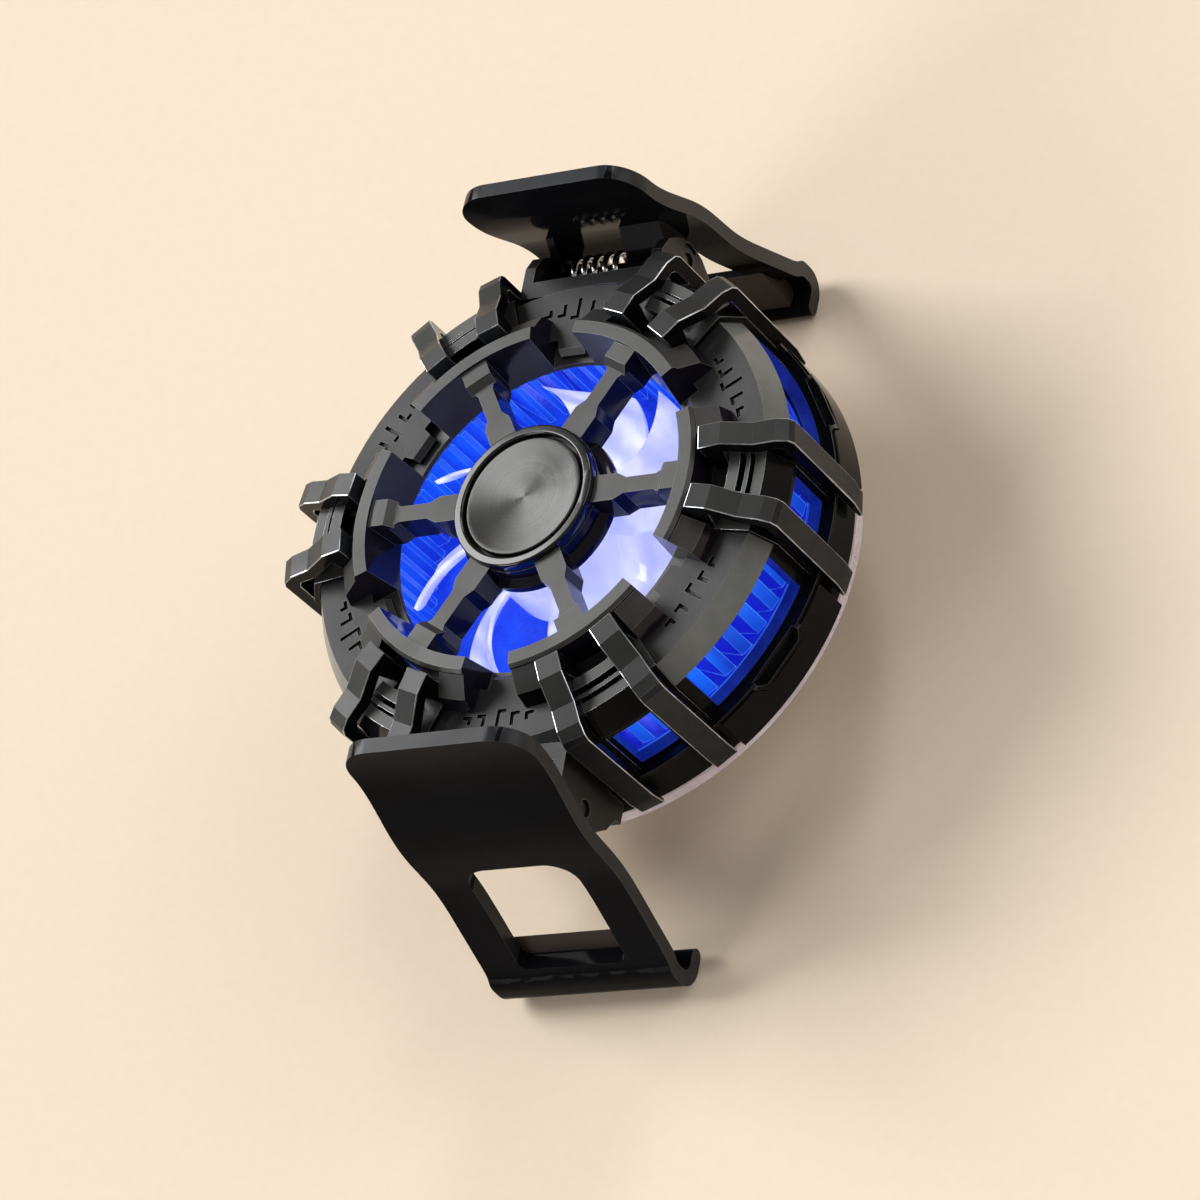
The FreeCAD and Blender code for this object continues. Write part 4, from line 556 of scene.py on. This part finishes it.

# Impeller: seven swept blades on a cup-shaped hub, spinning just under the grille.
# Milky translucent plastic with a lavender tint and faint flow lines from moulding; its glow is painted light,
# an emission that stands for the diodes' light taken up in it.
# Painted glow: the blades emit a white-lavender light that follows the flow lines, though they are no lamp.
blade_milk_painted_glow, blade_tree, blade_shader = new_material(
    "MilkyLavenderPaintedGlow", Specular_IOR_Level=0.5, IOR=1.46, Transmission_Weight=0.22, Coat_Weight=0.9,
    Coat_Roughness=0.05, Emission_Strength=0.52)
blade_flow = add(blade_tree, "ShaderNodeTexWave", {
    "Vector": object_place(blade_tree), "Scale": 95.0, "Distortion": 7.0, "Detail": 3.0, "Detail Scale": 1.6},
    wave_type="RINGS", rings_direction="Z", wave_profile="SIN").outputs["Fac"]
blade_texture = use(blade_tree, grain, Size=1500.0, Mottle=130.0)
blade_touch = use(blade_tree, handling, Haze=120.0, Hairlines=900.0)
blade_mask = calc(blade_tree, "MULTIPLY", blade_flow, blade_texture["Mottle"])
connect(blade_tree, blade_shader,
        Base_Color=blend_colours(blade_tree, blade_mask, (0.76, 0.77, 0.92), (0.98, 0.98, 1.0)),
        Emission_Color=blend_colours(blade_tree, blade_mask, (0.48, 0.51, 0.80), (1.0, 1.0, 1.0)),
        Roughness=span(blade_tree, blade_touch["Haze"], 0.14, 0.30))
show("impeller", "impeller", 0.00009, blade_milk_painted_glow)

# Front bezel: the satin ring round the grille, with a sloping rim, six inward tabs and engraved scale marks.
# The flat face is spark-textured and the slope is smoother, with a painted sheen that makes it several times
# lighter; the marks are sunk to bare black.
# The straps clamp it onto the side wall.
face_satin = satin_plastic("GunmetalSatin", (0.028, 0.028, 0.028), (0.046, 0.046, 0.044), 0.42)
# Painted sheen: the outward slope's grey is several times lighter than the face of the same moulding.
slope_satin_painted_sheen = satin_plastic("SlopeSatinPaintedSheen", (0.125, 0.137, 0.138), (0.205, 0.221, 0.220), 0.32, bump=0.2,
                            size=2600.0)
ring_satin = satin_plastic("BezelSatin", (0.019, 0.0195, 0.020), (0.033, 0.034, 0.034), 0.42, shine=0.34)
mark_black = satin_plastic("MarkBlack", (0.004, 0.004, 0.004), (0.008, 0.008, 0.008), 0.6, bump=0.2)
# Worn edge with a painted glint: the rounded edges are a lighter grey, partly rubbed wear and partly a painted
# highlight.
worn_edge_painted_glint = satin_plastic("WornEdgePaintedGlint", (0.07, 0.07, 0.07), (0.20, 0.20, 0.197), 0.22, bump=0.1)
on_ring, on_wall, on_slope, on_mark, on_edge = range(5)
bezel = whole_copy("front_bezel", 0.00007, edge_slot=on_edge,
                   finishes=(ring_satin, black_gloss, slope_satin_painted_sheen, mark_black, worn_edge_painted_glint))
bezel_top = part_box("front_bezel")[1].z
mark_low, mark_high, mark_lip = bezel_top - 0.00035, bezel_top - 0.00025, bezel_top - 0.00003
tab_end, mark_inside, mark_outside, slope_inside = 0.0177, 0.0191, 0.0215, 0.0222
nearly_level, level, steepest_slope, slope_turn = 0.9, 0.95, 0.2, 0.3
for face in bezel.data.polygons:
    out = face.center.xy.length
    if face.normal.z > nearly_level and out > tab_end and mark_low < face.center.z < mark_high:
        face.material_index = on_mark
    elif face.material_index == on_edge and mark_inside < out < mark_outside:
        face.material_index = on_mark if face.center.z < mark_lip else on_ring
    elif face.material_index == on_edge:
        continue
    elif (steepest_slope < face.normal.z < level and face.normal.dot(outward(face)) > slope_turn
          and out > slope_inside):
        face.material_index = on_slope
    elif face.normal.z < steepest_slope:
        face.material_index = on_wall
put_on(bezel, "front_bezel", "housing")

# Front grille: six raised lips with wedge ends, six dog-bone spokes and the hub they meet at.
# Moulded as one piece. Its tops are satin and its inner walls and flanks are polished, so they mirror the blue.
flank_gloss = gloss_plastic("FlankGloss", (0.014, 0.012, 0.020), 0.08, bend=1.3)
foot_top, foot_out, top_rise = 0.0148, 0.0082, 0.35
grille_flank, grille_edge = 1, 2
grille = whole_copy("front_grille", 0.00008, finishes=(face_satin, flank_gloss, worn_edge_painted_glint),
                    edge_slot=grille_edge)
for face in grille.data.polygons:
    hub_foot = face.center.z < foot_top and face.center.xy.length < foot_out
    if hub_foot or face.material_index != grille_edge and face.normal.z < top_rise:
        face.material_index = grille_flank
put_on(grille, "front_grille", "housing")

# Hub rim: the dark bead round the hub disc.
# Turned aluminium under a deep black gloss paint, so its crest catches a thin bright line.
rim_gloss = gloss_plastic("RimGloss", (0.010, 0.010, 0.011), 0.06, coat=0.3, bend=1.4)
show("hub_rim", "housing", 0.00022, rim_gloss)

# Hub disc: the spun cap in the middle of the grille.
# Steel turned on a lathe and left bright: fine rings run round it and stretch every highlight into a cone.
spun, spun_tree, spun_shader = new_material("SpunSteel", Metallic=1.0, Anisotropic=0.94)
spun_flat = vector_calc(spun_tree, "MULTIPLY", "Vector", object_place(spun_tree), (1.0, 1.0, 0.0))
spun_out = vector_calc(spun_tree, "LENGTH", "Value", spun_flat)
spun_line = add(spun_tree, "ShaderNodeCombineXYZ", {"X": spun_out}).outputs["Vector"]
spun_rings = noise(spun_tree, spun_line, 9000.0, 3.0)
spun_bands = noise(spun_tree, spun_line, 900.0, 2.0)
spun_touch = use(spun_tree, handling, Haze=260.0, Hairlines=1200.0)
spun_way = add(spun_tree, "ShaderNodeTangent", direction_type="RADIAL", axis="Z")
connect(spun_tree, spun_shader,
        Base_Color=blend_colours(spun_tree, spun_rings, (0.038, 0.038, 0.038), (0.110, 0.110, 0.108)),
        Roughness=calc(spun_tree, "ADD", span(spun_tree, spun_bands, 0.20, 0.32),
                       span(spun_tree, spun_touch["Haze"], 0.0, 0.06)),
        Tangent=spun_way.outputs["Tangent"], Normal=relief(spun_tree, spun_rings, 0.2, 0.000006))
show("hub_disc", "housing", 0.00012, spun)

# Cross frames: six frames, one between each pair of straps, with two rails, cross plates and a curved shade.
# Black mouldings, satin on top, whose rounded corners carry a painted glint, a pale bright metallic finish, so
# that a thin shining line runs beside each strap. They hook over the bezel and run down the side wall.
# Painted glint: a pale, bright metallic finish on the rounded corners draws the shining lines.
glint_painted_corner = mottled("GlintPaintedCorner", 2400.0, 420.0, (0.20, 0.215, 0.24), (0.82, 0.86, 0.92),
                      rough=(0.12, 0.22), Metallic=0.85)
frame_flank, frame_corner, frame_rise = 1, 2, 0.55
for number in range(1, 7):
    cross_frame = whole_copy("cross_frame_%d" % number, 0.00010, turn=50.0, crisp=20.0,
                             finishes=(face_satin, black_gloss, glint_painted_corner), edge_slot=frame_corner)
    for face in cross_frame.data.polygons:
        if face.material_index != frame_corner and face.normal.z < frame_rise:
            face.material_index = frame_flank
    put_on(cross_frame, "cross_frame_%d" % number, "housing")

# Straps: twelve bent bars in six pairs, which grip the bezel and run over its edge to the back.
# Die-cast and painted: satin on top, a deeper semi-gloss down the outside and gloss on both flanks, with
# a painted glint on the corners between.
strap_flank = gloss_plastic("StrapFlank", (0.006, 0.006, 0.008), 0.06, bend=1.17)
strap_outside = satin_plastic("StrapOutside", (0.015, 0.0165, 0.019), (0.028, 0.031, 0.035), 0.26, bump=0.12,
                              shine=0.14)
on_side, on_corner, on_outside, side_turn, strap_rise = 1, 2, 3, 0.7, 0.45
for number in range(1, 7):
    heading = math.radians(60 * (number - 1))
    across = Vector((-math.sin(heading), math.cos(heading), 0))
    for hand in ("left", "right"):
        strap = whole_copy("strap_%d_%s" % (number, hand), 0.00009, turn=50.0, crisp=14.0,
                           finishes=(ring_satin, strap_flank, glint_painted_corner, strap_outside), edge_slot=on_corner)
        for face in strap.data.polygons:
            if face.material_index == on_corner:
                continue
            if abs(face.normal.dot(across)) > side_turn:
                face.material_index = on_side
            elif face.normal.z < strap_rise:
                face.material_index = on_outside
        put_on(strap, "strap_%d_%s" % (number, hand), "housing")

# Clip bases: the two blocks that carry the hinges, each with two ears and a well for its spring.
# Satin nylon, held to the side wall by two small screws from the outside.
base_satin = satin_plastic("BaseSatin", (0.010, 0.010, 0.011), (0.019, 0.019, 0.020), 0.36, bump=0.25,
                           shine=0.3)
for side in ("upper", "lower"):
    clip_base = whole_copy(side + "_clip_base", 0.00009, finishes=(base_satin, worn_edge_painted_glint), edge_slot=1)
    put_on(clip_base, side + "_clip_base", "housing")

# Clip base screws: two blackened steel screws in each clip base, with cross recesses.
# They come in from the outside, under the arm, and hold the base to the side wall.
screw_offset = 0.0044
for side, way in (("upper", 1), ("lower", -1)):
    clip_screws = whole_copy(side + "_clip_screws", 0.00008)
    low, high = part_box(side + "_clip_screws")
    head_y = high.y if way > 0 else low.y
    for across in (-screw_offset, screw_offset):
        cross_recess(clip_screws, (across, head_y, (low.z + high.z) / 2), (0, -way, 0), 0.0011, 0.00026, 0.0003)
    finish_screws(clip_screws, side + "_clip_screws")

# Hinge pins: one plain steel pin through the ears and knuckles of each clip.
# Cut from ground bar, chamfered at both ends, blackened in oxide and pressed into the ears.
pin_metal = bare_metal("PinSteel", (0.05, 0.05, 0.055), (0.13, 0.13, 0.13), 0.22, 0.36, (1, 0.06, 0.06), 3800.0)
for side in ("upper", "lower"):
    show(side + "_hinge_pin", "housing", 0.00012, pin_metal)

# Torsion springs: bright round wire coiled on each pin, one leg on the base and the other behind the lever.
# Drawn stainless wire with a finely mottled skin.
wire_metal = bare_metal("DrawnWire", (0.50, 0.50, 0.50), (0.86, 0.86, 0.85), 0.10, 0.22, (1, 1, 1), 2600.0)
for side, way in (("upper", 1), ("lower", -1)):
    spring = whole_copy(side + "_torsion_spring", 0.0, finishes=(wire_metal,))
    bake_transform(spring)
    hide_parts(side + "_torsion_spring")

# Arms: two broad sprung levers with a window, bent into a jaw at the bottom.
# Pressed strip under deep piano-black lacquer, with satin cut edges where the lacquer thins.
arm_lacquer = gloss_plastic("PianoLacquer", (0.0075, 0.008, 0.0098), 0.06, bend=1.08)
arm_edge = satin_plastic("ArmEdgeSatin", (0.013, 0.014, 0.017), (0.025, 0.027, 0.031), 0.34, bump=0.15,
                         worn=(0.10, 0.10, 0.105), shine=0.25)
rail_inside, top_edge, cut_turn = 0.0055, 0.0002, 0.45
for side in ("upper", "lower"):
    arm = whole_copy(side + "_arm", 0.00024, turn=40.0, finishes=(arm_lacquer, arm_edge))
    arm_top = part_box(side + "_arm")[1].z
    for face in arm.data.polygons:
        cut_side = abs(face.normal.x) > cut_turn and abs(face.center.x) > rail_inside
        if cut_side or face.center.z > arm_top - top_edge:
            face.material_index = 1
    put_on(arm, side + "_arm", side + "_arm")

# Jaw pads: a soft strip in each jaw that takes the phone's edge without scratching it.
# Brownish black silicone rubber with a fine matt skin, glued to the jaw.
pad_rubber = mottled("SiliconeRubber", 2600.0, 260.0, (0.014, 0.008, 0.007), (0.028, 0.016, 0.014),
                     rough=(0.5, 0.7), bump=(0.4, 0.00002), Specular_IOR_Level=0.4)
for side in ("upper", "lower"):
    show(side + "_jaw_pad", side + "_arm", 0.00015, pad_rubber)

# Floor: a plain cream sheet under the fan, with a very faint paper tooth, seen only from above.
# It isn't part of the fan. From below it is see-through, so the back can be looked at.
bpy.ops.object.select_all(action="DESELECT")
floor_gap, floor_size = 0.00002, 6.0
bpy.ops.mesh.primitive_plane_add(size=floor_size, location=(0, 0, cad_box[0].z - floor_gap))
floor = bpy.context.active_object
floor.name = "floor"
paper, paper_tree, paper_shader = new_material("CreamPaper", Roughness=0.9, Specular_IOR_Level=0.2)
paper_tooth = noise(paper_tree, object_place(paper_tree), 900.0, 6.0)
connect(paper_tree, paper_shader,
        Base_Color=blend_colours(paper_tree, paper_tooth, (0.89, 0.745, 0.585), (0.93, 0.785, 0.625)))
paper_clear = add(paper_tree, "ShaderNodeBsdfTransparent")
paper_under = add(paper_tree, "ShaderNodeNewGeometry")
paper_pick = add(paper_tree, "ShaderNodeMixShader", {0: paper_under.outputs["Backfacing"],
                                                     1: paper_shader.outputs["BSDF"],
                                                     2: paper_clear.outputs["BSDF"]})
paper_tree.links.new(paper_pick.outputs[0], paper_tree.nodes["Material Output"].inputs["Surface"])
floor.data.materials.append(paper)

# Studio: a dim pale room that glossy faces mirror, one broad soft light above, a fill and two weaker accents.
# All four stand far off, so the floor is lit evenly to its edge. The broad one sets the level at which colours
# come out as written, the fill lifts the right-hand faces, and the accents draw thin lines along the corners.
room = bpy.data.worlds.new("StudioRoom")
bpy.context.scene.world = room
room.use_nodes = True
room_light = room.node_tree.nodes["Background"]
room_light.inputs["Color"].default_value = (0.93, 0.88, 0.82, 1.0)
room_light.inputs["Strength"].default_value = 0.29
for name, coming_from, strength, spread in (("KeySoftbox", (-1.50, 0.50, 1.30), 2.45, 34.0),
                                            ("RightFill", (1.40, 0.70, 0.90), 0.6, 40.0),
                                            ("TopAccent", (0.10, 0.62, 0.62), 0.4, 14.0),
                                            ("LeftAccent", (-0.48, -0.63, 0.37), 0.9, 26.0)):
    lamp = bpy.data.lights.new(name, "SUN")
    lamp.energy = strength
    lamp.angle = math.radians(spread)
    holder = bpy.data.objects.new(name, lamp)
    holder.location = coming_from
    holder.rotation_euler = (-Vector(coming_from)).to_track_quat("-Z", "Y").to_euler()
    bpy.context.scene.collection.objects.link(holder)
bpy.context.scene.view_settings.view_transform = "Standard"

# Camera: the photograph's angle, from the right and above, rolled so that the upper arm points up.
# A long lens from 0.47 m, worked out from the fan's round outline and the arms' ends.
lens = bpy.data.cameras.new("PhotoCamera")
lens.lens = 160.74
lens.sensor_width = 36.0
lens.clip_start = 0.01
lens.clip_end = 20.0
camera = bpy.data.objects.new("PhotoCamera", lens)
bpy.context.scene.collection.objects.link(camera)
image_right = (0.84327958, 0.16883358, -0.51026932)
image_up = (0.09942278, 0.88399737, 0.45679728)
view_back = (0.52819946, -0.43594021, 0.72867103)
stands_at = (0.24817150, -0.20775369, 0.34506524)
camera.matrix_world = Matrix((*zip(image_right, image_up, view_back, stands_at), (0.0, 0.0, 0.0, 1.0)))
bpy.context.scene.camera = camera
